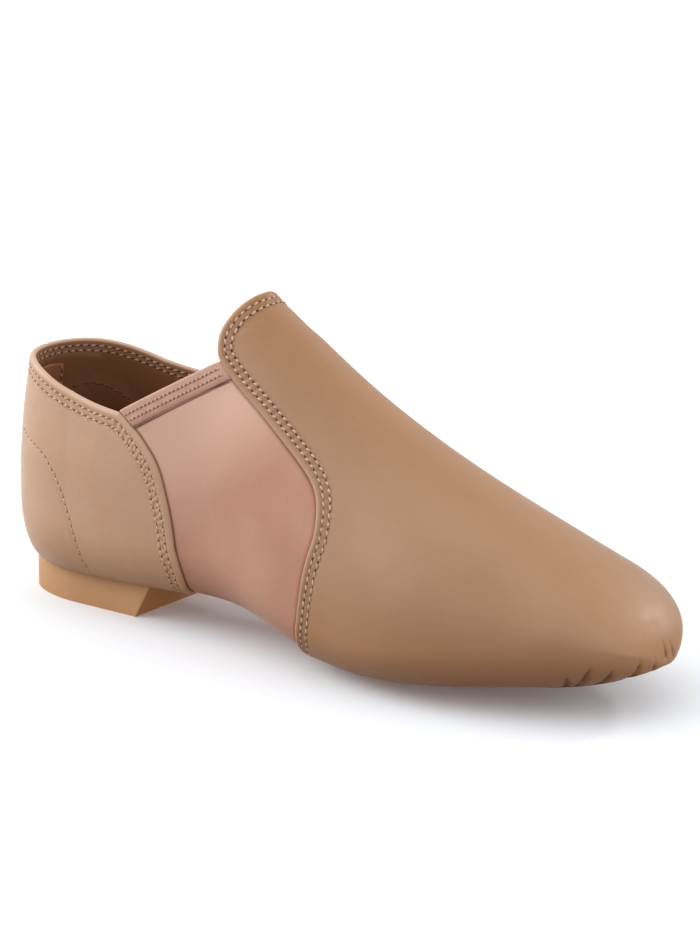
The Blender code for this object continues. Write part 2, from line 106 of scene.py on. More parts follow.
# Seams on the last: share of the length at each height, up being 0 under the foot and 1 on the ridge
lowUp = (0.0, 0.09, 0.145, 0.20, 0.26, 0.32, 0.38, 0.44, 0.50)
highShare = (0.0, 0.14, 0.27, 0.40, 0.52, 0.64, 0.75, 0.851, 1.0)
quarterLow = (0.290, 0.298, 0.305, 0.312, 0.318, 0.322, 0.325, 0.3235, 0.319)
quarterHigh = (
    (0.00, 0.3190), (0.22, 0.3110), (0.38, 0.3030), (0.57, 0.2910),
    (0.70, 0.2760), (0.85, 0.2540), (1.00, 0.2286),
)
vampLow = (0.526, 0.527, 0.528, 0.529, 0.531, 0.5345, 0.538, 0.5425, 0.5475)
vampHigh = (    # up, share, and up at the toe where the same row ends
    (0.595, 0.5575, 0.545), (0.650, 0.565, 0.590), (0.705, 0.557, 0.640), (0.732, 0.531, 0.690),
    (0.742, 0.484, 0.760), (0.746, 0.430, 0.820), (0.750, 0.3985, 0.860), (0.766, 0.368, 0.885),
    (0.790, 0.3575, 0.905), (0.820, 0.3550, 0.925), (0.855, 0.3590, 0.945),
    (0.895, 0.3650, 0.965), (0.945, 0.3730, 0.985), (1.000, 0.3770, 1.000),
)
vampEnd = 22        # the vamp's seam has steps 0 under the foot to 22 on the tongue's ridge
widest, quarterEnd = 8, 16      # the quarter's has its widest line at 8 and the topline at 16


def smoothCurve(xs, ys):
    # natural cubic through the points
    xs, ys = np.array(xs, float), np.array(ys, float)
    step = np.diff(xs)
    matrix, pull = np.eye(len(xs)), np.zeros(len(xs))
    for i in range(1, len(xs) - 1):
        matrix[i, i - 1:i + 2] = step[i - 1], 2 * (step[i - 1] + step[i]), step[i]
        pull[i] = 3 * ((ys[i + 1] - ys[i]) / step[i] - (ys[i] - ys[i - 1]) / step[i - 1])
    bend = np.linalg.solve(matrix, pull)

    def value(x):
        i = np.clip(np.searchsorted(xs, x) - 1, 0, len(xs) - 2)
        t = x - xs[i]
        first = (ys[i + 1] - ys[i]) / step[i] - step[i] * (2 * bend[i] + bend[i + 1]) / 3
        return ys[i] + first * t + bend[i] * t * t + (bend[i + 1] - bend[i]) / (3 * step[i]) * t ** 3
    return value


def column(table, index):
    return [row[index] for row in table]


def curveOf(table, index=1):
    return smoothCurve(column(table, 0), column(table, index))


sectionCurves = {name: curveOf(sections, i) for i, name in enumerate(sectionNames) if i}
riseCurve, toplineCurve, quarterEdge = curveOf(underside), curveOf(topline), curveOf(quarterHigh)
cornerAlong = topline[-1][0]


def toeLift(along):
    spring = np.maximum(along - last["springStart"], 0) / (1 - last["springStart"])
    return last["toeSpring"] * spring ** last["springPower"]


def underLevel(along):
    return last["soleLevel"] + last["seatStep"] * np.maximum(riseCurve(along), 0) + toeLift(along)


def sectionAt(along):
    s = {name: curve(along) for name, curve in sectionCurves.items()}
    closing = np.clip((along - last["toeStart"]) / (1 - last["toeStart"]), 0, 1)
    plan, top, low = (np.maximum(1 - closing ** last[k], 0) ** 0.5 for k in ("toePlan", "toeTop", "toeLow"))
    bottom, tip, ball, instep = underLevel(along), last["toeTip"], last["ball"], last["instep"]
    return {
        "lateral": ball * s["lateral"] * plan, "medial": ball * s["medial"] * plan,
        "swing": ball * s["swing"], "bottom": tip - (tip - bottom) * low,
        "wide": tip + (bottom + instep * s["wide"] - tip) * top,
        "ridge": tip + (instep * s["ridge"] - tip) * top,
        "crown": s["crown"], "corner": s["corner"],
    }


def ribAt(s, up):
    # share of the half width, and height, of a section
    flat = (1 - s["corner"]) * up / 0.2
    turn = np.clip((up - 0.2) / 0.3, 0, 1) * pi / 2
    cornerReach = 1 - s["corner"] + s["corner"] * np.sin(turn)
    cornerHeight = s["wide"] - (s["wide"] - s["bottom"]) * np.cos(turn)
    arch = np.clip((up - 0.5) / 0.5, 0, 1) * pi / 2
    archHeight = s["wide"] + (s["ridge"] - s["wide"]) * np.sin(arch) ** (2 / s["crown"])
    reach = np.where(up <= 0.2, flat, np.where(up <= 0.5, cornerReach, np.cos(arch)))
    height = np.where(up <= 0.2, s["bottom"], np.where(up <= 0.5, cornerHeight, archHeight))
    return reach, height


def onLast(along, side, up):
    # points of the outer surface, in the frame of the solids; side is -1 lateral and 1 medial
    along, side, up = np.broadcast_arrays(np.asarray(along, float), side, np.asarray(up, float))
    fan, instep = last["fan"], last["instep"]
    s = sectionAt(np.maximum(along, fan))
    reach, height = ribAt(s, up)
    y = reach * np.where(side > 0, s["medial"], s["lateral"])
    bottom = underLevel(np.zeros(1))[0]
    back = {"bottom": bottom, "wide": bottom + instep * last["backWide"],
            "ridge": instep * last["backRidge"], "crown": last["backCrown"], "corner": last["backCorner"]}
    turn = np.clip(along / fan, 0, 1) * pi / 2
    backReach, backHeight = ribAt(back, up)
    power = 2 / last["fanPlan"]
    behind = along < fan
    fanX = fan * (1 - backReach * np.maximum(np.cos(turn), 0) ** power)
    x = np.where(behind, fanX, along) * last["length"]
    y = np.where(behind, y * np.sin(turn) ** power, y)
    z = np.where(behind, height * np.sin(turn) ** 2 + backHeight * np.cos(turn) ** 2, height)
    return np.stack([x - last["length"] / 2, s["swing"] + side * y - planMiddle, z], -1)


def findPlanMiddle():
    stations = np.linspace(last["fan"], 0.95, 60)
    ys = [onLast(stations, side, 0.5)[:, 1] for side in (-1, 1)]
    return (np.min(ys) + np.max(ys)) / 2


planMiddle = 0.0
planMiddle = findPlanMiddle()


def unit(vectors):
    return vectors / np.linalg.norm(vectors, axis=-1, keepdims=True)


def outward(along, side, up):
    # unit normals of the last, from places a little apart
    a, u, side = np.broadcast_arrays(np.clip(along, 1e-4, 0.9995), np.clip(up, 1e-3, 0.999), side)
    lengthwise = onLast(a + 4e-4, side, u) - onLast(a - 1e-4, side, u)
    upwards = onLast(a, side, u + 1e-3) - onLast(a, side, u - 1e-3)
    return unit(np.cross(lengthwise, upwards) * -side[..., None])


def toplineUp(along, side, height):
    # how far up the last a line of the given height lies, by halving
    low, high = np.full_like(along, 0.5), np.full_like(along, 0.98)
    for _ in range(40):
        middle = (low + high) / 2
        point = onLast(along, side, middle)
        share = (point[..., 0] + last["length"] / 2) / last["length"]
        below = point[..., 2] < last["instep"] * height(share)
        low, high = np.where(below, middle, low), np.where(below, high, middle)
    return (low + high) / 2


# seams
quarterAlong = smoothCurve(range(17), quarterLow + tuple(float(quarterEdge(s)) for s in highShare[1:]))
vampUp = smoothCurve(range(23), list(lowUp) + column(vampHigh, 0))
vampAlong = smoothCurve(range(23), list(vampLow) + column(vampHigh, 1))
vampToeUp = smoothCurve(range(23), list(lowUp) + column(vampHigh, 2))


def cornerUp(side):
    return toplineUp(np.array([cornerAlong]), side, toplineCurve)[0]


def highPart(step):
    return np.interp(step - widest, range(9), highShare)


def quarterUp(step, top):
    low = np.interp(step, range(9), lowUp)
    return np.where(step <= widest, low, 0.5 + (top - 0.5) * highPart(step))


def goreLine(along):
    return np.interp(along, column(goreTop, 0), column(goreTop, 1))


# lines and distances
def runOf(line):
    # the length run so far at each point of a line
    return np.concatenate([[0], np.cumsum(np.linalg.norm(np.diff(line, axis=0), axis=1))])


def sampled(marks, run, line):
    return np.stack([np.interp(marks, run, line[:, i]) for i in range(line.shape[1])], 1)


def thin(line, spacing):
    # polyline with even spacing
    line = np.asarray(line, float)
    run = runOf(line)
    return sampled(np.linspace(0, run[-1], max(int(run[-1] / spacing), 2) + 1), run, line)


def joined(lateral, medial):
    # up one side and down the other, with the middle point once
    return np.concatenate([lateral, medial[::-1][1:]])


def distanceTo(points, line):
    # distance from each point to a polyline, and the share along it of the nearest place
    start, end = line[:-1], line[1:]
    reach = end - start
    size = np.maximum((reach ** 2).sum(1), 1e-14)
    flat = points.reshape(-1, 3)
    best, place = np.empty(len(flat)), np.empty(len(flat))
    batch = 4000
    for first in range(0, len(flat), batch):
        part = flat[first:first + batch, None, :] - start[None]
        t = np.clip((part * reach).sum(2) / size, 0, 1)
        gap = ((part - t[..., None] * reach) ** 2).sum(2)
        k = gap.argmin(1)
        rows = np.arange(len(k))
        best[first:first + batch] = gap[rows, k]
        place[first:first + batch] = (k + t[rows, k]) / len(start)
    shape = points.shape[:-1]
    return np.sqrt(best).reshape(shape), place.reshape(shape)


def nearest(points, *lines):
    return np.minimum.reduce([distanceTo(points, line)[0] for line in lines])


def smooth(share):
    share = np.clip(share, 0, 1)
    return share * share * (3 - 2 * share)


def hump(distance, width):
    return np.exp(-(distance / width) ** 2)


def rolled(distance, radius):
    # how deep a rounded edge lies under its surface, by the distance from the edge
    short = np.clip(radius - distance, 0, radius)
    return radius - np.sqrt(np.maximum(radius ** 2 - short ** 2, 0))


# meshes
def deselect():
    bpy.ops.object.select_all(action="DESELECT")


@contextmanager
def editing(select=None):
    bpy.ops.object.mode_set(mode="EDIT")
    if select:
        bpy.ops.mesh.select_all(action=select)
    yield
    bpy.ops.object.mode_set(mode="OBJECT")


def faceOut():
    bpy.ops.mesh.select_all(action="SELECT")
    bpy.ops.mesh.normals_make_consistent(inside=False)


def gridPiece(name, points, marks=None):
    # a grid primitive laid over rows of points, its doubles merged; marks are kept for the finish
    rows, columns = points.shape[:2]
    deselect()
    bpy.ops.mesh.primitive_grid_add(x_subdivisions=columns - 1, y_subdivisions=rows - 1, size=1)
    piece = bpy.context.object
    piece.name = name
    mesh = piece.data
    flat = np.zeros(len(mesh.vertices) * 3)
    mesh.vertices.foreach_get("co", flat)
    flat = flat.reshape(-1, 3)
    ix = np.rint((flat[:, 0] + 0.5) * (columns - 1)).astype(int)
    iy = np.rint((flat[:, 1] + 0.5) * (rows - 1)).astype(int)
    mesh.vertices.foreach_set("co", points[iy, ix].ravel())
    for label, values in (marks or {}).items():
        kept = mesh.attributes.new(label, "FLOAT", "POINT")
        kept.data.foreach_set("value", values[iy, ix].astype(float))
    mesh.update()
    with editing("SELECT"):
        bpy.ops.mesh.remove_doubles(threshold=2e-6)
        faceOut()
    bpy.ops.object.shade_smooth()
    return piece


def treeOf(piece):
    mesh = piece.data
    return BVHTree.FromPolygons([v.co for v in mesh.vertices], [p.vertices for p in mesh.polygons])


def struck(tree, rays, reach):
    # where rays, each a start and an aim, meet a piece
    hits = [tree.ray_cast(Vector(start), Vector(aim), reach)[0] for start, aim in rays]
    return np.array([hit for hit in hits if hit is not None])


def sideLine(tree, side, places, inside=False):
    # places are (x from the heel back, height) in mm, seen from the side or from inside the shoe
    rays = [((x * mm - last["length"] / 2, 0 if inside else side * 120 * mm, z * mm),
             (0, side if inside else -side, 0)) for x, z in thin(places, 1)]
    return struck(tree, rays, 200 * mm)


# Soft troughs (depth above 0) and ridges (below 0), each along a line of points on the shoe
def byFold(points, fold, margin):
    # which points lie near a fold, and their gap from it, place along it and its width there
    line = thin(fold["line"], 0.4 * mm)
    near = np.all((points > line.min(0) - margin) & (points < line.max(0) + margin), axis=-1)
    gap, place = distanceTo(points[near], line)
    return near, gap, place, np.interp(place, (0, 1), fold["width"])


def relief(points, folds):
    height = np.zeros(points.shape[:-1])
    for fold in folds:
        near, gap, place, width = byFold(points, fold, 2.6 * max(fold["width"]))
        depth = fold["depth"] * np.sin(np.clip(place, 0.02, 0.98) * pi) ** fold.get("fade", 0.5)
        if "open" in fold:      # runs out at full depth over its last end
            depth = fold["depth"] * np.clip(place * fold["open"], 0, 1)
        height[near] -= depth * hump(gap, width)
    return height


def creaseMark(points, folds):
    # how deep in a gather each point lies, 0 to 1, where painted shade darkens the gathers
    mark = np.zeros(points.shape[:-1])
    for fold in folds:
        if "dark" in fold:
            near, gap, place, width = byFold(points, fold, 4 * mm)
            deep = hump(gap, width * 0.8) * np.clip(place * fold["open"], 0, 1)
            mark[near] = np.maximum(mark[near], deep)
    return mark


def creaseFolds(tree, rows):
    folds = [{"line": sideLine(tree, side, places), **metres(width=width, depth=depth)}
             for places, side, width, depth in rows]
    return [fold for fold in folds if len(fold["line"]) > 1]


# the leathers' wall: its turned edge shows inside, plump outside the stitches and drawn down along them
wall = {"browner": 0.75, **metres(thickness=1.8, goreStep=0.8, clear=0.3, turned=5.3, turnedEdge=0.5,
                                  roll=(1.5, 1.1, 0.36), plump=(4.0, 0.7, 0.12), drawn=(0.55, 0.24))}
stitch = metres(pitch=2.75, rows=(3.0, 5.3), insideRows=(2.3, 4.2))
edgeSteps = np.array([0, 0.03, 0.10, 0.22, 0.40, 0.62, 0.90, 1.25, 1.7, 2.2, 2.8]) * mm


def foldedEdge(gap):
    raised = [height * hump(gap - place, width) for place, width, height in (wall["roll"], wall["plump"])]
    width, sink = wall["drawn"]
    return raised[0] + raised[1] - sum(sink * hump(gap - row, width) for row in stitch["rows"])


def seamMarks(gap, place, edge, under):
    # for the finish: distance from the edge and run along it in mm, and where the lining shows
    run = np.linalg.norm(np.diff(edge, axis=0), axis=1).sum()
    turned = smooth(gap / (1.2 * mm)) * wall["browner"]
    lined = np.maximum(turned, smooth((gap - wall["turned"]) / wall["turnedEdge"]))
    return {"lined": under * lined, "seamGap": gap / mm, "seamRun": np.minimum(place, 1 - place) * run / mm}


def leatherWall(name, grid, under, shown, edge, every, foldsOn, padsAt=lambda points: (0, 0)):
    # outer and inner face in one grid: shown is the outer part, edge the sewn edge
    points, normals = onLast(*grid), outward(*grid)
    gap, place = distanceTo(points, edge[::every])
    bare = gridPiece("bare", points[shown])
    folds = foldsOn(treeOf(bare))
    bpy.data.objects.remove(bare)
    proud, pocket = padsAt(points)
    height = relief(points, folds) + foldedEdge(gap) + proud
    sunk = rolled(gap, wall["thickness"] / 2)
    depth = np.where(under, wall["thickness"] - sunk + pocket, sunk - height)
    marks = seamMarks(gap, place, edge, under)
    # the gathers' depth, kept for the painted shade in them
    marks["crease"] = np.where(under, 0, creaseMark(points, folds))
    return gridPiece(name, points - normals * depth[..., None], marks)


# vamp with its tongue
vamp = {"rowsPerSide": 126, "columns": 150, "innerColumns": 46, "fan": 0.6, "crowd": 1.12, "reach": 118 * mm}
pleats = {  # gathers under the toe: where each starts on the toe and how it runs down and under, in degrees
    "lines": (
        (-51, -50, -49, -9), (-39.3, -42.5, -47.5, -2.0), (-28.7, -30.2, -32.5, -4.0),
        (-15.2, -17.2, -20.5, 0.8), (-6.6, -8.2, -10.5, -1.0), (3.0, -1.0, -3.0, 4.0),
        (8.0, 5.2, 4.0, 3.0), (17, 16, 17, 0.0), (27, 28, 30, -2.0), (38, 41, 44, -3.0),
        (50, 52, 55, -8.0),
    ),
    "rise": 2.5, "endTilt": -47, "puffTilts": (-8, -40), "centre": (0.085, 0.004, 0.020),
    **metres(depth=1.6, width=(0.45, 1.0), puff=0.4),
}
flares = {  # across the tongue: share of the length, heights up to the ridge, depth in mm, fade
    "rows": ((0.378, [0.90, 0.92, 0.95, 0.98, 1], -1.3, 0.4), (0.425, [0.86, 0.90, 0.94, 0.97, 1], 0.5, 0.5)),
    "width": 4.5 * mm,
}
vampCreases = (  # along the fold (x, height), side, width at its ends and depth, in mm
    (((93, 100), (96, 103.5), (99, 106)), -1, (0.5, 0.8), 0.28),
    (((95, 97.5), (99, 99.5), (103, 100.5)), -1, (0.9, 1.4), 0.18),
    (((146, 19), (150, 20), (155, 20.3)), -1, (0.5, 0.5), 0.12),
    (((145, 15.5), (150, 16), (156, 16)), -1, (0.5, 0.5), 0.10),
    (((120, 86), (128, 80), (137, 73)), -1, (5, 6), 0.35),
    (((150, 58), (160, 50), (172, 44)), -1, (6, 7), 0.30),
    (((93, 99), (97, 102.5), (100, 104)), 1, (0.6, 0.9), 0.25),
    (((122, 84), (131, 77), (140, 70)), 1, (5, 6), 0.35),
    (((150, 45), (163, 38), (178, 35)), 1, (5, 6), 0.40),
    (((147, 25), (156, 22), (166, 21)), 1, (3, 4), 0.30),
)


def evenSteps(count, side, first):
    # seam steps with even spacing on the shoe
    fine = np.linspace(first, vampEnd, 600)
    run = runOf(onLast(vampAlong(fine), side, vampUp(fine)))
    return np.interp(np.linspace(0, run[-1], count + 1), run, fine)


def vampLine(first):
    # the vamp's sewn edge, from a step on the lateral side over the tongue to it on the medial, and normals
    lines = []
    for side in (-1, 1):
        steps = evenSteps(700, side, first)
        place = vampAlong(steps), side, vampUp(steps)
        lines.append((onLast(*place), outward(*place)))
    return [joined(a, b) for a, b in zip(*lines)]


vampEdge = vampLine(0)[0]


def toePlaces(tree, path):
    # places on the toe seen from inside it: angle in plan, tilt up or down, in degrees
    rays = []
    for a, t in np.radians(path):
        aim = np.array([cos(a) * cos(t), sin(a) * cos(t), sin(t)])
        rays.append((pleats["centre"] + aim * 90 * mm, -aim))
    return struck(tree, rays, 90 * mm)


def vampFolds(tree):
    folds = []
    for start, middle, end, top in pleats["lines"]:
        path = [(np.interp(t, (0, 0.35, 1), (start, middle, end)),
                 top + pleats["rise"] + (pleats["endTilt"] - top) * t) for t in np.linspace(0, 1, 9)]
        folds.append({"line": toePlaces(tree, path), "width": pleats["width"], "depth": pleats["depth"],
                      "open": 6, "dark": True})
    angles = sorted(row[1] for row in pleats["lines"])
    for a, b in zip(angles, angles[1:]):        # the leather between two gathers puffs out
        path = [((a + b) / 2, tilt) for tilt in np.linspace(*pleats["puffTilts"], 7)]
        wide = 0.32 * (b - a) / 12 * 8 * mm
        folds.append({"line": toePlaces(tree, path), "width": (wide * 0.8, wide),
                      "depth": -pleats["puff"], "open": 2})
    folds = [fold for fold in folds if len(fold["line"]) > 2]
    for along, ups, depth, fade in flares["rows"]:
        line = onLast(np.full(9, along), np.repeat((-1, 1), (5, 4)), ups + ups[-2::-1])
        folds.append({"line": line, "width": (flares["width"],) * 2, "depth": depth * mm, "fade": fade})
    return folds + creaseFolds(tree, vampCreases)


def makeVamp():
    lateral = evenSteps(vamp["rowsPerSide"], -1, 0)
    steps = joined(lateral, lateral)
    side = np.repeat((-1.0, 1.0), (len(lateral), len(lateral) - 1))
    first = edgeSteps / vamp["reach"]
    w = np.linspace(0, 1, vamp["columns"])[1:]
    outer = np.concatenate([first, first[-1] + (1 - first[-1]) * np.sin(w * pi / 2) ** vamp["crowd"]])
    inner = np.concatenate([first[1:-3], np.linspace(0.02, 1, vamp["innerColumns"])])
    share, step = np.meshgrid(np.concatenate([outer[::-1], inner]), steps)
    a, s, t = vampAlong(step), vampUp(step), vampToeUp(step)
    grid = a + (1 - a) * share, np.repeat(side[:, None], share.shape[1], 1), s + (t - s) * share ** vamp["fan"]
    under = np.repeat(np.arange(share.shape[1])[None] >= len(outer), len(steps), 0)
    return leatherWall("vamp", grid, under, np.s_[:, :len(outer)], vampEdge, 3, vampFolds)


vampPiece = makeVamp()
print("vamp modelled", len(vampPiece.data.polygons))


# quarters
quarter = {"fanColumns": 40, "sideColumns": 44, "lowRows": 26, "highRows": 50, "innerRows": 34,
           "sideReach": 45 * mm, "lastStep": 5.7 * mm}
quarterCreases = (  # as the vamp's
    (((66, 55), (69.5, 52), (73, 50)), -1, (0.6, 0.7), 0.16),
    (((66.5, 50.5), (70.5, 48), (74, 46.5)), -1, (0.6, 0.7), 0.18),
    (((67, 46), (71, 44), (74.5, 43)), -1, (0.6, 0.7), 0.16),
    (((68, 41.5), (72, 40.2), (75.5, 39.5)), -1, (0.6, 0.7), 0.14),
    (((70, 36.5), (73, 36), (76, 35.6)), -1, (0.6, 0.7), 0.10),
    (((18, 70), (32, 62), (48, 60)), -1, (9, 9), 0.45),
    (((66, 54), (70, 51.5), (73.5, 50)), 1, (0.6, 0.7), 0.15),
    (((67, 48), (71, 46), (74.5, 45)), 1, (0.6, 0.7), 0.17),
    (((68, 42), (72, 41), (75.5, 40.5)), 1, (0.6, 0.7), 0.12),
    (((20, 68), (34, 61), (50, 60)), 1, (9, 9), 0.45),
    (((50, 34), (58, 28), (66, 25)), 1, (6, 7), 0.35),
)
counter = {  # the heel's stiffener: its row of stitches outside and the edge of its pocket inside, in mm
    "line": ((9.0, 57.0), (15.7, 55.1), (21.0, 53.6), (25.3, 51.6), (30.4, 46.5), (34.3, 40.4),
             (37.6, 32.2), (39.6, 26.0), (41.2, 18.5), (42.5, 14.5)),
    "inside": ((4.6, 62.9), (6.5, 64.0), (9.6, 64.9), (13.5, 63.6), (17.3, 61.0), (20.5, 58.0),
               (26.0, 50.0), (31.0, 40.0), (34.0, 30.0)),
    **metres(proud=0.18, edge=1.2, top=57, topFade=9, pocket=0.8, above=1.5, step=1.0),
}


def quarterGrid(steps):
    # columns from the lateral front edge round the heel back to the medial one
    near = edgeSteps / quarter["sideReach"]
    shares = np.concatenate([1 - near, np.linspace(1 - near[-1], 0, quarter["sideColumns"])[1:]])
    turns = np.linspace(1, 0, quarter["fanColumns"] + 1)[1:]
    blocks, fan = [], last["fan"]
    for side in (-1, 1):
        edge = quarterAlong(steps)[:, None]
        along = np.concatenate([fan + (edge - fan) * shares[None], np.repeat(fan * turns[None], len(steps), 0)], 1)
        topAlong = np.concatenate([fan + (cornerAlong - fan) * shares, fan * turns])
        tops = toplineUp(topAlong, np.full(len(topAlong), side), toplineCurve)
        tops[0] = cornerUp(side)
        blocks.append((along, np.full(along.shape, float(side)), quarterUp(steps[:, None], tops[None])))
    return [joined(a.T, b.T).T for a, b in zip(*blocks)]


def quarterOutline():
    # front edge up, topline round the heel, and the other front edge down
    grid = quarterGrid(np.linspace(0, quarterEnd, 500))
    path = [np.concatenate([part[:, 0], part[-1], part[::-1, -1]]) for part in grid]
    return onLast(*path), outward(*path)


def stiffenerPads(points):
    # behind its row the stiffener stands a little proud; inside, its pocket ends in a soft step
    x, z = points[..., 0] + last["length"] / 2, points[..., 2]
    line, inside = np.array(counter["line"]) * mm, np.array(counter["inside"]) * mm
    behind = np.clip((np.interp(z, line[::-1, 1], line[::-1, 0]) - x) / counter["edge"], 0, 1)
    top = smooth((counter["top"] - z) / counter["topFade"])
    edge = np.interp(x, inside[:, 0], inside[:, 1] + counter["above"])
    pocket = counter["pocket"] * smooth((edge - z) / counter["step"]) * (x < inside[-1, 0])
    return counter["proud"] * behind * top, pocket


def quarterFolds(tree):
    # the creases, the seam at the heel back and the stiffener's rows
    folds = creaseFolds(tree, quarterCreases)
    backSeam = onLast(np.zeros(30), -1, np.linspace(0.24, 0.70, 30))
    folds.append({"line": backSeam, "fade": 0.15, **metres(width=(0.5, 0.5), depth=0.45)})
    for side in (-1, 1):
        folds.append({"line": sideLine(tree, side, counter["line"]), "fade": 0.1,
                      **metres(width=(0.6, 0.6), depth=0.26)})
    return folds


def makeQuarters():
    near = edgeSteps / quarter["lastStep"]
    low = np.linspace(0, widest, quarter["lowRows"])
    high = quarterEnd - near[-1] - (widest - near[-1]) * np.linspace(1, 0, quarter["highRows"])[1:-1]
    outer = np.concatenate([low, high, quarterEnd - near[::-1]])
    inner = np.concatenate([quarterEnd - near[1:],
                            np.linspace(quarterEnd - near[-1], 0, quarter["innerRows"])[1:]])
    steps = np.concatenate([outer, inner])
    grid = quarterGrid(steps)
    under = np.repeat((np.arange(len(steps)) >= len(outer))[:, None], grid[0].shape[1], 1)
    return leatherWall("quarters", grid, under, np.s_[:len(outer)], quarterEdgeLine, 2,
                       quarterFolds, stiffenerPads)


quarterEdgeLine, quarterEdgeOut = quarterOutline()
quarterPiece = makeQuarters()
print("quarters modelled", len(quarterPiece.data.polygons))


# stretch gore
gore = {"rows": 110, "columns": 44, "lapTop": 15.6,
        **metres(reach=55, puff=0.7, tuck=0.6, tuckWidth=0.8, groove=0.5, grooveWidth=0.35, shadeWidth=0.55,
                 lap=0.9, lapRise=0.6)}
band = {"columns": 60, "fold": 15,
        **metres(tall=7.0, proud=0.20, thick=0.8, foot=0.22, rows=(2.1, 4.6))}


def goreGrid(steps, shares, side):
    # between the quarter's edge, share 0, and the vamp's, share 1, with the top along its own line
    q, v = quarterAlong(steps)[:, None], vampAlong(steps)[:, None]
    qUp, vUp = quarterUp(steps, cornerUp(side))[:, None], vampUp(steps)[:, None]
    along, up = q + (v - q) * shares, qUp + (vUp - qUp) * shares
    sides = np.full(along.shape, float(side))
    goal = toplineUp(along[-1], sides[-1], goreLine)
    up = up + (goal - up[-1])[None] * highPart(steps)[:, None] * np.where(shares > 0.999, 0, 1)
    return along, sides, up


def makeGore():
    fold = band["fold"] + np.array([-0.3, -0.2, -0.14, -0.09, -0.05, -0.02, 0.0, 0.02, 0.05, 0.09, 0.14])
    steps = np.concatenate([np.linspace(0, widest, 45), np.linspace(widest, 14.6, gore["rows"] - 56)[1:], fold,
                            np.linspace(15.2, quarterEnd, 6)])
    near = edgeSteps / gore["reach"]
    lap = np.array([1, 0.5]) * gore["lap"] / gore["reach"]      # runs on under both leathers
    shares = np.concatenate([-lap, near, np.linspace(near[-1], 1 - near[-1], gore["columns"])[1:-1],
                             1 - near[::-1], 1 + lap[::-1]])
    shares = np.where(steps[:, None] < gore["lapTop"], shares[None], np.clip(shares, 0, 1)[None])
    blocks = [goreGrid(steps, shares, side) for side in (-1, 1)]
    shares = np.concatenate([shares[::-1], shares[1:]])
    grid = along, side, up = [np.concatenate([a[::-1], b[1:]], 0) for a, b in zip(*blocks)]
    points, normals = onLast(*grid), outward(*grid)
    # the elastic is fuller between the leathers, which pinch it along their edges
    height = np.sin(pi * np.clip(shares, 0, 1) ** 0.8) * np.clip((up - 0.1) / 0.3, 0, 1)
    gap = nearest(points, vampEdge[::3], quarterEdgeLine[::2])
    pressed = sum(hump(nearest(points, line) - band["tall"], gore["grooveWidth"])
                  for line in (points[0], points[-1]))
    pinched = np.minimum(gore["tuck"] * hump(gap, gore["tuckWidth"]) + gore["groove"] * pressed, gore["tuck"])
    depth = wall["goreStep"] - gore["puff"] * height + pinched
    under = (np.maximum(-shares, 0) + np.maximum(shares - 1, 0)) * gore["reach"]
    depth -= gore["lapRise"] * smooth(under / gore["lap"])
    # painted shade along the band's lower edge and the leathers' edges, kept as a mark for the finish
    shade = np.clip(np.maximum(pressed, 0.7 * hump(gap, gore["shadeWidth"])), 0, 1)
    piece = gridPiece("gore", points - normals * depth[..., None], {"crease": shade})
    modifier = piece.modifiers.new("wall", "SOLIDIFY")
    modifier.thickness, modifier.offset = wall["thickness"] - wall["goreStep"], -1
    bpy.context.view_layer.objects.active = piece
    bpy.ops.object.modifier_apply(modifier="wall")
    return piece


gorePiece = makeGore()
print("gore modelled", len(gorePiece.data.polygons))


# bound top edge of the gore
def bandProfile():
    # (outwards, upwards) round the folded band, from the foot of its outer leg over the edge and back
    tall, thick, foot = band["tall"], band["thick"], band["foot"]
    out, back = band["proud"], -(wall["thickness"] + wall["clear"] + thick)
    soft = thick / 2
    middle, half = (out + back) / 2, (out - back) / 2
    ring = [(out, -tall + foot)] + [(out, -down * mm) for down in (5.0, 3.0, 1.5, 0.3)]
    ring += [(middle + half * cos(t), 0.55 * half * sin(t)) for t in np.linspace(0.2, pi - 0.2, 9)]
    ring += [(back, -0.3 * mm), (back, -2.5 * mm), (back, -tall + soft)]
    ring += [(back + soft - soft * cos(t), -tall + soft - soft * sin(t)) for t in (0.8, pi / 2, 2.3)]
    ring += [(back + thick, -tall + soft), (back + thick, 0), (out - thick, 0), (out - thick, -tall + soft)]
    ring += [(out - thick + 0.05 * mm, -tall), (out - foot, -tall)]
    return np.array(ring + ring[:1])


def makeBand(name, side):
    shares = np.linspace(0.012, 1, band["columns"])
    along, sides, up = goreGrid(np.array([15.2, quarterEnd]), shares, side)
    along[:, -1] -= 0.001
    points, normals = onLast(along, sides, up), outward(along, sides, up)
    top, normal = points[1], normals[1]
    top[-1] = top[-2] + (top[-2] - top[-3])
    rise = top - points[0]
    rise -= (rise * normal).sum(1)[:, None] * normal
    rise = unit(rise)
    rise[-1], normal[-1] = rise[-2], normal[-2]
    count = len(shares)     # both ends are tucked in under the leathers
    tuck = np.interp(np.arange(count), (0, 3, count - 6, count - 1), (-0.5, 0, 0, -0.6)) * mm
    q, h = bandProfile().T[:, :, None, None]
    piece = gridPiece(name, top[None] + normal[None] * (q + tuck[None, :, None]) + rise[None] * h)
    with editing("DESELECT"):
        bpy.ops.mesh.select_non_manifold()
        bpy.ops.mesh.fill_holes(sides=0)
        faceOut()
    lines = [top + normal * (band["proud"] + tuck[:, None]) - rise * drop for drop in band["rows"]]
    return piece, [(line[2:-2], normal[2:-2]) for line in lines]


lateralBand, lateralBandRows = makeBand("goreBandLateral", -1)
medialBand, medialBandRows = makeBand("goreBandMedial", 1)
print("gore bands modelled")


# insole
insole = {"edgeUp": 0.255, "front": 0.962, "rows": 22, "columns": 90, "fan": 26,
          **metres(thick=2.4, ringInset=5.2, padding=(2.5, 1.4, 0.35), groove=(0.7, 0.35))}


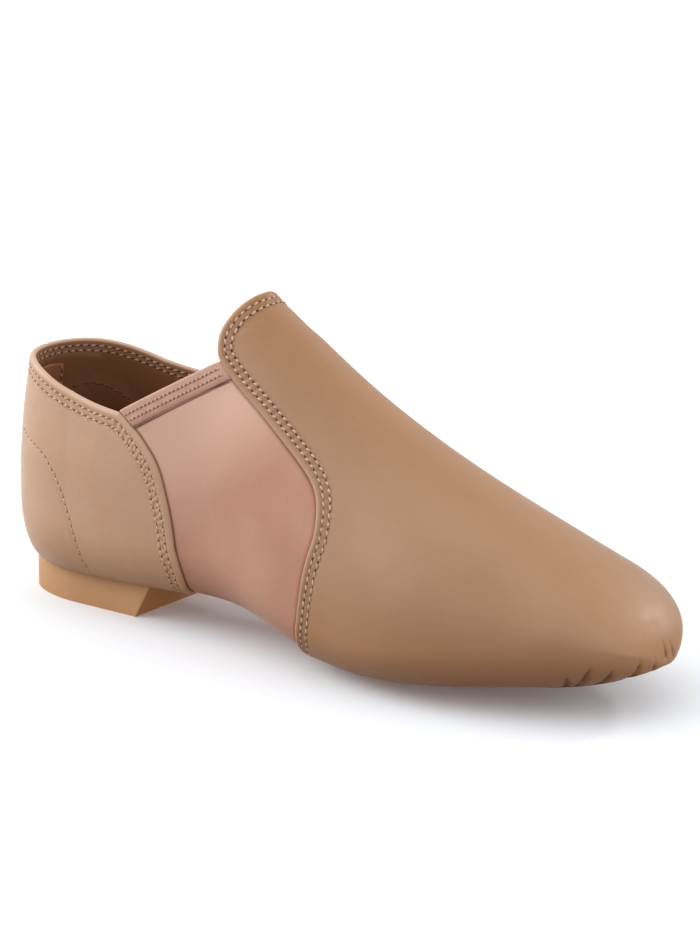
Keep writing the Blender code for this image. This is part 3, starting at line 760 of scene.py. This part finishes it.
def makeInsole():
    edge, front = insole["edgeUp"], insole["front"]
    near = np.array([0, 0.0006, 0.002, 0.005, 0.010, 0.017])
    ups = np.concatenate([edge - near, np.linspace(edge - near[-1], 0, insole["rows"])[1:]])
    tail = np.array([0, 0.0003, 0.001, 0.003, 0.006])
    along = np.concatenate([front - tail, np.linspace(front - tail[-1], last["fan"], insole["columns"])[1:],
                            last["fan"] * np.linspace(1, 0, insole["fan"] + 1)[1:]])
    along = joined(along, along)
    sides = np.repeat((-1.0, 1.0), (len(along) // 2 + 1, len(along) // 2))
    rows = np.concatenate([ups[::-1], ups[1:]])       # underneath, round the edge and back on top
    grid = np.broadcast_arrays(along[None], sides[None], rows[:, None])
    normals = outward(*grid)
    base = onLast(*grid) - normals * (wall["thickness"] + wall["clear"])
    rim = len(ups) - 1
    gap = nearest(base, base[rim], base[:, 0], base[:, -1])
    sunk = rolled(gap, insole["thick"] / 2)
    top = np.repeat((np.arange(len(rows)) > rim)[:, None], len(along), 1)
    place, width, height = insole["padding"]
    padding = height * hump(gap - place, width)
    width, height = insole["groove"]
    groove = height * hump(gap - insole["ringInset"], width)
    depth = np.where(top, insole["thick"] - sunk + padding - groove, sunk)
    return gridPiece("insoleSock", base - normals * depth[..., None]), base[rim]


insolePiece, insoleOutline = makeInsole()
print("insole modelled")


# forefoot patch
patch = {"rear": 0.560, "front": 0.940, "rearRound": 8, "frontRound": 5, "reachUp": 0.145, "edge": 0.5 * mm,
         "stations": 70, "across": 30}


def makePatch():
    t = (1 - np.cos(np.linspace(0, pi, patch["stations"]))) / 2
    along = patch["rear"] + (patch["front"] - patch["rear"]) * t
    power = np.where(t < 0.5, patch["rearRound"], patch["frontRound"])
    narrow = np.maximum(1 - np.abs(2 * t - 1) ** power, 0) ** 0.5
    s = sectionAt(along)
    reach = ribAt(s, np.full(len(along), patch["reachUp"]))[0]
    share = np.sin(np.linspace(-1, 1, patch["across"]) * pi / 2)
    y = np.where(share[None] > 0, s["medial"][:, None], s["lateral"][:, None]) * reach[:, None]
    y = s["swing"][:, None] + share[None] * narrow[:, None] * y - planMiddle
    low = toeLift(along) + s["bottom"] - underLevel(along)
    x, high, low = (np.repeat(values[:, None], len(share), 1) for values in (
        along * last["length"] - last["length"] / 2, s["bottom"] - wall["clear"], low))
    flat = np.stack([x, y, low], -1)
    outline = np.concatenate([flat[:, 0], flat[:, -1][::-1], flat[:1, 0]])
    bottom = np.stack([x, y, low + rolled(nearest(flat, outline), patch["edge"])], -1)
    top = np.stack([x, y, high], -1)
    piece = gridPiece("forefootPatch", np.concatenate([bottom, top[:, ::-1], bottom[:, :1]], 1))
    with editing("SELECT"):
        bpy.ops.mesh.dissolve_degenerate(threshold=1e-6)
        faceOut()
    bpy.ops.object.shade_smooth_by_angle(angle=radians(35))
    return piece


patchPiece = makePatch()
print("forefoot patch modelled")


# heel block
heel = {"round": 0.46, "points": 120, "breast": 12, "segments": 3,
        **metres(height=11.3, width=36.6, rear=2.8, front=62.6, slant=6.3, lip=1.4, inside=0.8, edge=0.7,
                 touch=0.12, hollow=0.8, rim=3)}


def heelOutline(count):
    # plan of the block, evenly spaced, from the breast's lateral corner round the rear
    front, half, breast = heel["front"], heel["width"] / 2, heel["breast"]
    radius = (front - heel["rear"]) * heel["round"]
    turns = np.linspace(-pi / 2, pi / 2, 120)
    curve = [(heel["rear"] + radius * (1 - cos(t)), half * sin(t)) for t in turns]
    curve = np.array([(front, -half)] + curve + [(front, half)])
    run = runOf(curve)
    across = np.linspace(half, -half, breast + 1)[1:-1]
    return np.concatenate([sampled(np.linspace(0, run[-1], count - breast + 1), run, curve),
                           np.stack([np.full(len(across), front), across], 1)])


def makeHeel():
    plan = heelOutline(heel["points"])
    count, startX = len(plan), -last["length"] / 2
    deselect()
    bpy.ops.mesh.primitive_circle_add(vertices=count, radius=0.03, fill_type="NGON")
    piece = bpy.context.object
    piece.name = "heelBlock"
    mesh = piece.data
    middle = heel["rear"] + (heel["front"] - heel["rear"]) * heel["round"]
    for vertex, (x, y) in zip(mesh.vertices, plan):     # the foot, drawn back under the breast
        lean = heel["slant"] * max((x - middle) / (heel["front"] - middle), 0)
        vertex.co = x - lean + startX, y - planMiddle, 0.0
    with editing("SELECT"):
        bpy.ops.mesh.extrude_region_move(TRANSFORM_OT_translate={"value": (0, 0, heel["height"])})
    tree = treeOf(quarterPiece)
    for vertex in mesh.vertices:        # the top is fitted to the quarters
        if vertex.co.z > heel["height"] / 2:
            x, y = plan[vertex.index - count]
            inX = max(x, min(x + heel["inside"], 35 * mm)) + startX
            inY = y * (1 - 2 * heel["inside"] / heel["width"]) - planMiddle
            hit = tree.ray_cast(Vector((inX, inY, -0.01)), Vector((0, 0, 1)), 0.03)
            high = hit[0].z - heel["touch"] if hit[0] is not None else 1.0
            vertex.co = x + startX, y - planMiddle, min(high, heel["height"] + heel["lip"])
    with editing("DESELECT"):
        pass
    for polygon in mesh.polygons:
        polygon.select = len(polygon.vertices) == count and polygon.center.z > heel["height"] / 2
    with editing():
        bpy.ops.mesh.select_mode(type="FACE")
        bpy.ops.mesh.inset(thickness=heel["rim"], depth=0)
        bpy.ops.transform.translate(value=(0, 0, -heel["hollow"]))
        bpy.ops.mesh.select_mode(type="VERT")
        faceOut()
    modifier = piece.modifiers.new("edges", "BEVEL")
    modifier.width, modifier.segments = heel["edge"], heel["segments"]
    modifier.limit_method, modifier.angle_limit = "ANGLE", radians(35)
    bpy.ops.object.modifier_apply(modifier="edges")
    bpy.ops.object.shade_smooth_by_angle(angle=radians(30))
    return piece


heelPiece = makeHeel()
print("heel modelled")


# tape inside the heel back
strip = {"low": 0.54, "rows": 40, "columns": 12, **metres(width=14.6, thick=0.7, drop=7.2)}


def makeStrip():
    half, low = strip["width"] / 2, strip["low"]
    near = np.array([0, 0.03, 0.3, 1.1]) * mm
    middle = np.linspace(-half + near[-1], half - near[-1], strip["columns"])[1:-1]
    across = np.concatenate([-half + near, middle, half - near[::-1]])
    fine = np.linspace(0.5, toplineUp(np.zeros(1), np.array([-1.0]), toplineCurve)[0], 200)
    heights = onLast(np.zeros(200), -1, fine)[:, 2]
    high = np.interp(heights[-1] - strip["drop"], heights, fine)
    ups = np.linspace(low, high, strip["rows"])
    turn = np.abs(np.arcsin(across / -(onLast(last["fan"], -1, 0.5)[1] + planMiddle)))
    rows = np.concatenate([ups, ups[::-1]])[:, None]        # the hidden face, then the one that shows
    grid = np.broadcast_arrays(last["fan"] * turn / (pi / 2), np.where(across < 0, -1.0, 1.0), rows)
    points, normals = onLast(*grid), outward(*grid)
    gap = np.minimum(half - np.abs(across)[None], 300 * np.minimum(rows - low, high - rows) * mm)
    sunk = rolled(gap, strip["thick"] / 2)
    front = (np.arange(len(rows)) >= len(ups))[:, None]
    depth = wall["thickness"] + wall["clear"] + np.where(front, strip["thick"] - sunk, sunk)
    placed = points - normals * depth[..., None]
    seams = [(placed[len(ups):, k][::-1], -normals[len(ups):, k][::-1]) for k in (3, -4)]
    return gridPiece("backTape", placed), seams


stripPiece, stripSeams = makeStrip()
print("back tape modelled")


# stitches
thread = {"share": 0.56, "slant": 16, "uneven": 0.16, "square": 0.75,
          "footTrim": 21, "collarTrim": 98,     # even steps left out at each end of the quarters' rows
          "pitch": stitch["pitch"], **metres(even=0.8, radius=0.38, sunk=0.02, hole=0.50, holeDeep=0.06)}


def smallBody(kind):
    # one stitch or one needle hole, a metre long, to be copied
    deselect()
    segments, rings = (8, 6) if kind == "Thread" else (10, 4)
    bpy.ops.mesh.primitive_uv_sphere_add(segments=segments, ring_count=rings, radius=1)
    body = bpy.context.object
    corners = np.array([v.co for v in body.data.vertices])
    faces = [tuple(p.vertices) for p in body.data.polygons]
    bpy.data.objects.remove(body)
    if kind == "Thread":     # the ball is turned on its side and squared off into a short thread
        corners = corners[:, [2, 0, 1]]
        corners[:, 0] = np.sign(corners[:, 0]) * np.abs(corners[:, 0]) ** thread["square"]
    return corners, faces


def evenEdge(line, outs):
    edge, run = thin(line, thread["even"]), runOf(line)
    return edge, sampled(np.linspace(0, run[-1], len(edge)), run, outs)


def rowOn(tree, edge, normals, inset, turn=1, sunk=0.0):
    # a line on a piece, at a distance inside its edge; turn is the side on which the piece lies
    inwards = np.cross(normals, unit(np.gradient(edge, axis=0))) * turn
    goal = edge + inwards * inset - normals * sunk
    goal = goal[nearest(edge + inwards * inset, edge) > inset * 0.96]
    hits = [tree.find_nearest(Vector(point)) for point in thin(goal, 0.6 * mm)]
    places, outs = (np.array([hit[i] for hit in hits]) for i in (0, 1))
    padded = np.concatenate([outs[:1].repeat(2, 0), outs, outs[-1:].repeat(2, 0)])
    outs = np.stack([np.convolve(padded[:, i], np.ones(5) / 5, "valid") for i in range(3)], 1)
    return places, unit(outs)


def vampRows():
    tree, (edge, outs) = treeOf(vampPiece), evenEdge(*vampLine(1.6))
    return [rowOn(tree, edge, outs, inset, -1) for inset in stitch["rows"]]


def stiffenerRows(tree, row, inside=False):
    lines = [thin(sideLine(tree, side, counter[row], inside), 0.6 * mm) for side in (-1, 1)]
    return [(line, np.array([tree.find_nearest(Vector(p))[1] for p in line])) for line in lines]


def quarterRows():
    # outside both rows stop short of the ground, and inside they run round the collar alone
    tree, (edge, outs) = treeOf(quarterPiece), evenEdge(quarterEdgeLine, quarterEdgeOut)
    cut, ends = thread["footTrim"], thread["collarTrim"]
    outside = [rowOn(tree, edge[cut:-cut], outs[cut:-cut], inset) for inset in stitch["rows"]]
    inside = [rowOn(tree, edge[ends:-ends], outs[ends:-ends], inset, sunk=wall["thickness"] + 0.3 * mm)
              for inset in stitch["insideRows"]]
    return outside, inside, stiffenerRows(tree, "line"), stiffenerRows(tree, "inside", True)


def insoleRows():
    line = thin(insoleOutline, 1.0 * mm)
    line = line[line[:, 0] < -0.05]     # the rear of the shoe
    level, up = line + np.array([0, 0, insole["thick"]]), np.tile([0.0, 0.0, 1.0], (len(line), 1))
    return [rowOn(treeOf(insolePiece), level, up, insole["ringInset"], -1)]


def sew(name, rows, changes):
    # threads, and dark flat bodies painting the shade of needle holes, along rows of (places, normals), as two
    # joined meshes
    use = {**thread, **changes}
    slant, radius, hole = radians(use["slant"]), use["radius"], use["hole"]
    pieces = []
    for kind, offset in (("Thread", 0.5), ("Hole", 0.0)):
        shape, faces = smallBody(kind)
        blocks = []
        for places, outs in rows:
            run = runOf(places)
            count = int(run[-1] / use["pitch"])
            if count < 1:
                continue
            step = run[-1] / count
            number = np.arange(count)
            marks = (number + offset) * step
            at, up = sampled(marks, run, places), unit(sampled(marks, run, outs))
            line = sampled(marks + 0.4 * step, run, places) - sampled(marks - 0.4 * step, run, places)
            line -= (line * up).sum(1)[:, None] * up
            line = unit(line)
            cross = np.cross(up, line)
            # each hole is a flat dark body: painted shade of the needle hole
            scale, lift = (hole, hole * 0.85, use["holeDeep"]), 0.0
            if kind == "Thread":
                line, cross = line * cos(slant) + cross * sin(slant), cross * cos(slant) - line * sin(slant)
                line = line * (1 + use["uneven"] * np.sin(number * 2.4 + np.cos(number * 1.7) * 3))[:, None]
                scale, lift = (step * use["share"] / 2, radius, radius * 0.8), radius * 0.35 - use["sunk"]
            corners = at[:, None] + up[:, None] * lift
            for i, axis in enumerate((line, cross, up)):
                corners = corners + shape[None, :, i:i + 1] * axis[:, None] * scale[i]
            blocks.append(corners.reshape(-1, 3))
        corners, size = np.concatenate(blocks), len(shape)
        mesh = bpy.data.meshes.new(name + kind)
        mesh.from_pydata(corners.tolist(), [], [tuple(start + v for v in face)
                                                for start in range(0, len(corners), size) for face in faces])
        mesh.update()
        mesh.shade_smooth()
        piece = bpy.data.objects.new(name + kind, mesh)
        bpy.context.collection.objects.link(piece)
        pieces.append(piece)
    return pieces


outsideRows, insideRows, padRows, pocketRows = quarterRows()
seams = {  # rows, what differs from the thread above, finishes of thread and holes, slot
    "vampSeam": (vampRows(), {}, "lightThread", "needleHole", "tan_leather"),
    "quarterSeam": (outsideRows, metres(hole=0.42), "lightThread", "softHole", "tan_leather"),
    "stiffenerSeam": (padRows, {"share": 0.62, "slant": 8, **metres(pitch=2.4, radius=0.30, hole=0.30)},
                      "lightThread", "softHole", "tan_leather"),
    "collarInside": (insideRows + stripSeams, metres(hole=0.42), "dimThread", "dimHole", "tan_leather"),
    "pocketSeam": (pocketRows, {"share": 0.5, "slant": 8, **metres(pitch=3.2, radius=0.34, hole=0.34)},
                   "darkThread", "dimHole", "lining"),
    "goreBandSeam": (lateralBandRows + medialBandRows,
                     {"share": 0.62, "slant": 25, **metres(pitch=1.6, radius=0.26)},
                     "pinkThread", "pinkHole", "gore_elastic"),
    "insoleRing": (insoleRows(), {"share": 0.55, "slant": 0, **metres(pitch=4.2, radius=0.3)},
                   "dimThread", "dimHole", "lining"),
}
sewn = {name: sew(name, rows, changes) for name, (rows, changes, *_) in seams.items()}
print("stitches sewn", *(len(pair[0].data.polygons) for pair in sewn.values()))


# finishes
def tone(red, green, blue):
    # screen colour, 0 to 255, as the shader takes it
    parts = [c / 255 for c in (red, green, blue)]
    return tuple(c / 12.92 if c < 0.04045 else ((c + 0.055) / 1.055) ** 2.4 for c in parts) + (1.0,)


class Wire:
    # one output of a shader node; sums on it add Math nodes
    def __init__(self, finish, socket):
        self.finish, self.socket = finish, socket

    def maths(self, operation, first, second):
        return self.finish.node("ShaderNodeMath", {"operation": operation}, {0: first, 1: second})

    def __add__(self, other):
        return self.maths("ADD", self, other)

    def __radd__(self, other):
        return self.maths("ADD", other, self)

    def __sub__(self, other):
        return self.maths("SUBTRACT", self, other)

    def __rsub__(self, other):
        return self.maths("SUBTRACT", other, self)

    def __mul__(self, other):
        return self.maths("MULTIPLY", self, other)

    def __rmul__(self, other):
        return self.maths("MULTIPLY", other, self)


class Finish:
    # the nodes of a new material, or of another owner such as the world
    def __init__(self, name, owner=None, shader="Principled BSDF", **fixed):
        self.owner = owner or bpy.data.materials.new(name)
        self.owner.use_nodes = True
        self.tree = self.owner.node_tree
        self.shader = self.tree.nodes[shader]
        for socket, value in fixed.items():
            self.shader.inputs[socket.replace("_", " ")].default_value = value

    def node(self, kind, settings=None, sockets=None, output=0):
        made = self.tree.nodes.new(kind)
        for key, value in (settings or {}).items():
            if key == "stops":
                for element, (place, colour) in zip(made.color_ramp.elements, value):
                    element.position, element.color = place, colour
            else:
                setattr(made, key, value)
        for key, value in (sockets or {}).items():
            if isinstance(value, Wire):
                self.tree.links.new(value.socket, made.inputs[key])
            else:
                made.inputs[key].default_value = value
        return Wire(self, made.outputs[output])

    def feed(self, socket, wire):
        self.tree.links.new(wire.socket, self.shader.inputs[socket])

    def place(self):
        return self.node("ShaderNodeTexCoord", output=3)

    def axis(self, index):
        return self.node("ShaderNodeSeparateXYZ", {}, {0: self.place()}, index)

    def mark(self, label):
        return self.node("ShaderNodeAttribute", {"attribute_name": label}, output=2)

    def noise(self, scale, detail=2.0, roughness=0.5, where=None):
        return self.node("ShaderNodeTexNoise", {}, {"Vector": where or self.place(), "Scale": scale,
                                                    "Detail": detail, "Roughness": roughness})

    def ramp(self, wire, low, high):
        # 0 below low to 1 above high
        return self.node("ShaderNodeMapRange", {"interpolation_type": "SMOOTHSTEP"},
                         {"Value": wire, "From Min": low, "From Max": high})

    def blend(self, share, *colours):
        first, second = (c if isinstance(c, Wire) else tone(*c) for c in colours)
        return self.node("ShaderNodeMix", {"data_type": "RGBA"}, {0: share, 6: first, 7: second}, 2)

    def bump(self, height, strength, distance, under=None):
        sockets = {"Strength": strength, "Distance": distance, "Height": height}
        return self.node("ShaderNodeBump", {}, {**sockets, "Normal": under} if under else sockets)


leather = {
    # the foot tones are painted shade towards the ground
    "vamp": (172, 134, 104), "vampShade": (165, 126, 94), "vampFootShade": (165, 121, 82), "vampWarm": (167, 119, 77),
    "quarter": (199, 165, 139), "quarterShade": (191, 155, 127), "quarterFootShade": (194, 156, 123),
    # the lip tone is a painted highlight on the rolled edges, and the crease tone the painted shade of gathers and
    # stitched strips
    "lip": (216, 178, 148), "lining": (128, 80, 50), "crease": (92, 56, 34), "pores": (120, 80, 52),
    "rough": 0.46, "footShadeLow": 0.008, "ridge": (0.004, 0.026), "lipHighlightEdge": (0.3, 1.6),
    "sewnFrom": (1.4, 2.6), "sewnTo": (5.6, 6.8),
}


def leatherFinish(name, main, other, foot, footShadeTop, warm=None, sewnShade=0.08):
    # foot is painted shade, a darker and browner tone towards the ground up to the given height, and warm the tone
    # along the vamp's ridge
    finish = Finish(name, Roughness=leather["rough"], Specular_IOR_Level=0.42)
    colour = finish.blend(finish.ramp(finish.noise(22), 0.35, 0.68), main, other)
    # painted shade: darker and browner towards the ground
    colour = finish.blend((1 - finish.ramp(finish.axis(2), leather["footShadeLow"], footShadeTop)) * 0.85, colour, foot)
    if warm:
        across = finish.node("ShaderNodeMath", {"operation": "ABSOLUTE"}, {0: finish.axis(1) - 0.004})
        colour = finish.blend((1 - finish.ramp(across, *leather["ridge"])) * 0.8, colour, warm)
    colour = finish.blend(finish.ramp(finish.noise(420, 3, 0.6), 0.40, 0.75) * 0.05, colour, leather["pores"])
    # painted shade darkens the gathers under the toe
    if warm:
        colour = finish.blend(finish.mark("crease") * 0.75, colour, leather["crease"])
    gap, run, lined = finish.mark("seamGap"), finish.mark("seamRun"), finish.mark("lined")
    # painted highlight along the rolled edge
    colour = finish.blend((1 - finish.ramp(gap, *leather["lipHighlightEdge"])) * 0.4, colour, leather["lip"])
    # painted shade in the stitched strip, darker at each pucker between the stitches
    sewnZone = finish.ramp(gap, *leather["sewnFrom"]) * (1 - finish.ramp(gap, *leather["sewnTo"])) * (1 - lined)
    turn = run * (2 * pi / (stitch["pitch"] / mm)) + gap * 1.1
    wave = finish.node("ShaderNodeMath", {"operation": "SINE"}, {0: turn})
    pucker = finish.bump(wave * sewnZone * 0.5 + finish.noise(300) * sewnZone, 0.9, 0.16 * mm)
    colour = finish.blend(sewnZone * (wave * 0.08 + sewnShade), colour, leather["crease"])
    finish.feed("Base Color", finish.blend(lined, colour, leather["lining"]))
    cells = finish.node("ShaderNodeTexVoronoi", {"feature": "SMOOTH_F1"},
                        {"Vector": finish.place(), "Scale": 1500, "Smoothness": 0.6})
    patches = finish.ramp(finish.noise(160), 0.2, 0.8)
    finish.feed("Roughness", patches * 0.10 + lined * 0.3 + (leather["rough"] - 0.05))
    grain = cells * 0.5 + finish.noise(700, 3, 0.6) * 0.8
    finish.feed("Normal", finish.bump(grain, 0.07, 0.10 * mm, pucker))
    return finish.owner


threadGrain, holeGrain = (0.7, 900, 3000, 0.2, 0.05), (0.9, 900, 3000, 0.1, 0.05)
plain = {  # two tones, roughness, scale of patches and of grain, the grain's strength and its depth in mm
    "bandElastic": ((206, 166, 150), (196, 154, 138), 0.8, 260, 1400, 0.3, 0.12),
    "heelRubber": ((204, 158, 115), (196, 149, 107), 0.62, 40, 900, 0.12, 0.1),
    "patchSuede": ((140, 100, 70), (120, 84, 58), 0.95, 90, 1500, 0.5, 0.2),
    "sockCloth": ((118, 68, 42), (104, 58, 36), 0.8, 70, 1000, 0.2, 0.1),
    "tapeCloth": ((150, 98, 64), (138, 88, 58), 0.8, 90, 1000, 0.2, 0.1),
    "lightThread": ((220, 184, 156), (206, 168, 140), *threadGrain),
    "dimThread": ((192, 144, 108), (172, 124, 90), *threadGrain),
    "darkThread": ((136, 78, 46), (118, 66, 38), *threadGrain),
    "pinkThread": ((214, 176, 162), (196, 154, 140), *threadGrain),
    # the holes' tones are painted shade of the needle holes, on flat bodies laid over the leather
    "needleHole": ((84, 52, 32), (72, 44, 26), *holeGrain),
    "softHole": ((112, 74, 50), (98, 64, 42), *holeGrain),
    "dimHole": ((70, 40, 26), (60, 34, 20), *holeGrain),
    "pinkHole": ((140, 98, 84), (126, 86, 72), *holeGrain),
}


def plainFinish(name, colour, other, rough, scale, grainScale, strength, depth):
    finish = Finish(name, Roughness=rough)
    share = finish.ramp(finish.noise(scale, 3, 0.6), 0.3, 0.7)
    finish.feed("Base Color", finish.blend(share, colour, other))
    finish.feed("Normal", finish.bump(finish.noise(grainScale, 3, 0.7), strength, depth * mm))
    return finish.owner


def goreFinish():
    # fine knit with a faint rib that runs from topline to sole
    finish = Finish("stretchGore", Roughness=0.85, Specular_IOR_Level=0.18, Sheen_Weight=0.25, Sheen_Roughness=0.5)
    mapping = finish.node("ShaderNodeMapping", {}, {"Vector": finish.place(), "Scale": (1.0, 1.0, 0.35)})
    ribs = finish.node("ShaderNodeTexWave", {"wave_type": "BANDS", "bands_direction": "X"},
                       {"Vector": finish.place(), "Scale": 520, "Distortion": 1.5, "Detail": 1, "Detail Scale": 2})
    knit = finish.noise(900, 2, 0.6, mapping)
    colour = finish.blend(finish.ramp(finish.noise(35), 0.3, 0.7), (201, 154, 133), (192, 143, 122))
    colour = finish.blend(knit * 0.18, colour, (160, 110, 92))
    paler = finish.ramp(finish.axis(2) - finish.axis(0), 0.068, 0.110) * 0.75       # up towards the quarter
    colour = finish.blend(paler, colour, (226, 190, 170))
    # painted shade under the band and along the leathers' edges
    colour = finish.blend(finish.mark("crease") * 0.75, colour, (96, 58, 42))
    finish.feed("Base Color", colour)
    finish.feed("Normal", finish.bump(ribs * 0.5 + knit, 0.25, 0.10 * mm))
    return finish.owner


finishes = {name: plainFinish(name, *values) for name, values in plain.items()}
finishes["stretchGore"] = goreFinish()
finishes["vampLeather"] = leatherFinish("vampLeather", leather["vamp"], leather["vampShade"],
                                        leather["vampFootShade"], 0.030, leather["vampWarm"], 0.20)
finishes["quarterLeather"] = leatherFinish("quarterLeather", leather["quarter"], leather["quarterShade"],
                                           leather["quarterFootShade"], 0.045)
print("finishes mixed")


def dress(piece, finish, slot, *nodes):
    piece.data.materials.append(finishes[finish])
    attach(piece, "root")
    if nodes:
        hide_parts(*nodes)


dress(vampPiece, "vampLeather", "tan_leather", "upper")
dress(quarterPiece, "quarterLeather", "tan_leather", "upper")
dress(gorePiece, "stretchGore", "gore_elastic", "upper")
dress(lateralBand, "bandElastic", "gore_elastic", "gore_band_lateral")
dress(medialBand, "bandElastic", "gore_elastic", "gore_band_medial")
dress(insolePiece, "sockCloth", "lining", "insole")
dress(patchPiece, "patchSuede", "sole_suede", "forefoot_sole")
dress(heelPiece, "heelRubber", "heel_rubber", "heel")
dress(stripPiece, "tapeCloth", "lining", "back_strip")
for name, (_, _, threadFinish, holeFinish, slot) in seams.items():
    dress(sewn[name][0], threadFinish, slot)
    dress(sewn[name][1], holeFinish, slot)
print("pieces dressed")

# floor and light
studio = {"floor": (241, 245, 250), "glow": 0.07, "size": 240,
          "above": (0.93, 0.93, 0.93, 1), "below": (0.22, 0.115, 0.04, 1), "soft": 0.03}
lamps = {  # place, size, power
    "leftLight": ((-1.2, -0.35, 0.6), 0.8, 9.4),
    "frontLight": ((-0.7, -0.95, 0.8), 0.8, 2.5),
    "rightLight": ((1.3, 0.3, 0.5), 0.8, 2.7),
    "toeGlint": ((0.32, 1.08, 0.70), 0.20, 3.0),
}


def addArea(name, place, size, power):
    data = bpy.data.lights.new(name, "AREA")
    data.shape, data.size, data.energy = "DISK", size, power
    setUp(name, data, place, Vector(place) - Vector(view["aim"]))


def addWorld():
    # even light from above the horizon, and little from below it
    world = bpy.data.worlds.new("studio")
    bpy.context.scene.world = world
    sky = Finish("studio", world, "Background")
    height = sky.node("ShaderNodeSeparateXYZ", {}, {0: sky.node("ShaderNodeTexCoord")}, 2)
    stops = (0.0, studio["below"]), (studio["soft"], studio["above"])
    sky.feed("Color", sky.node("ShaderNodeValToRGB", {"stops": stops}, {0: height + studio["soft"]}))


def addFloor():
    deselect()
    bpy.ops.mesh.primitive_plane_add(size=studio["size"], location=(0, 0, 0))
    floor = bpy.context.object
    floor.name = "floor"
    finish = Finish("paleFloor", Roughness=0.9, Specular_IOR_Level=0.1, Base_Color=tone(*studio["floor"]),
                    Emission_Color=(1, 1, 1, 1), Emission_Strength=studio["glow"])
    floor.data.materials.append(finish.owner)
    floor.visible_diffuse = False       # keeps the white floor from lighting the shoe from below


addFloor()
addWorld()
for name, settings in lamps.items():
    addArea(name, *settings)
bpy.context.scene.view_settings.view_transform = "Standard"
print("studio set")
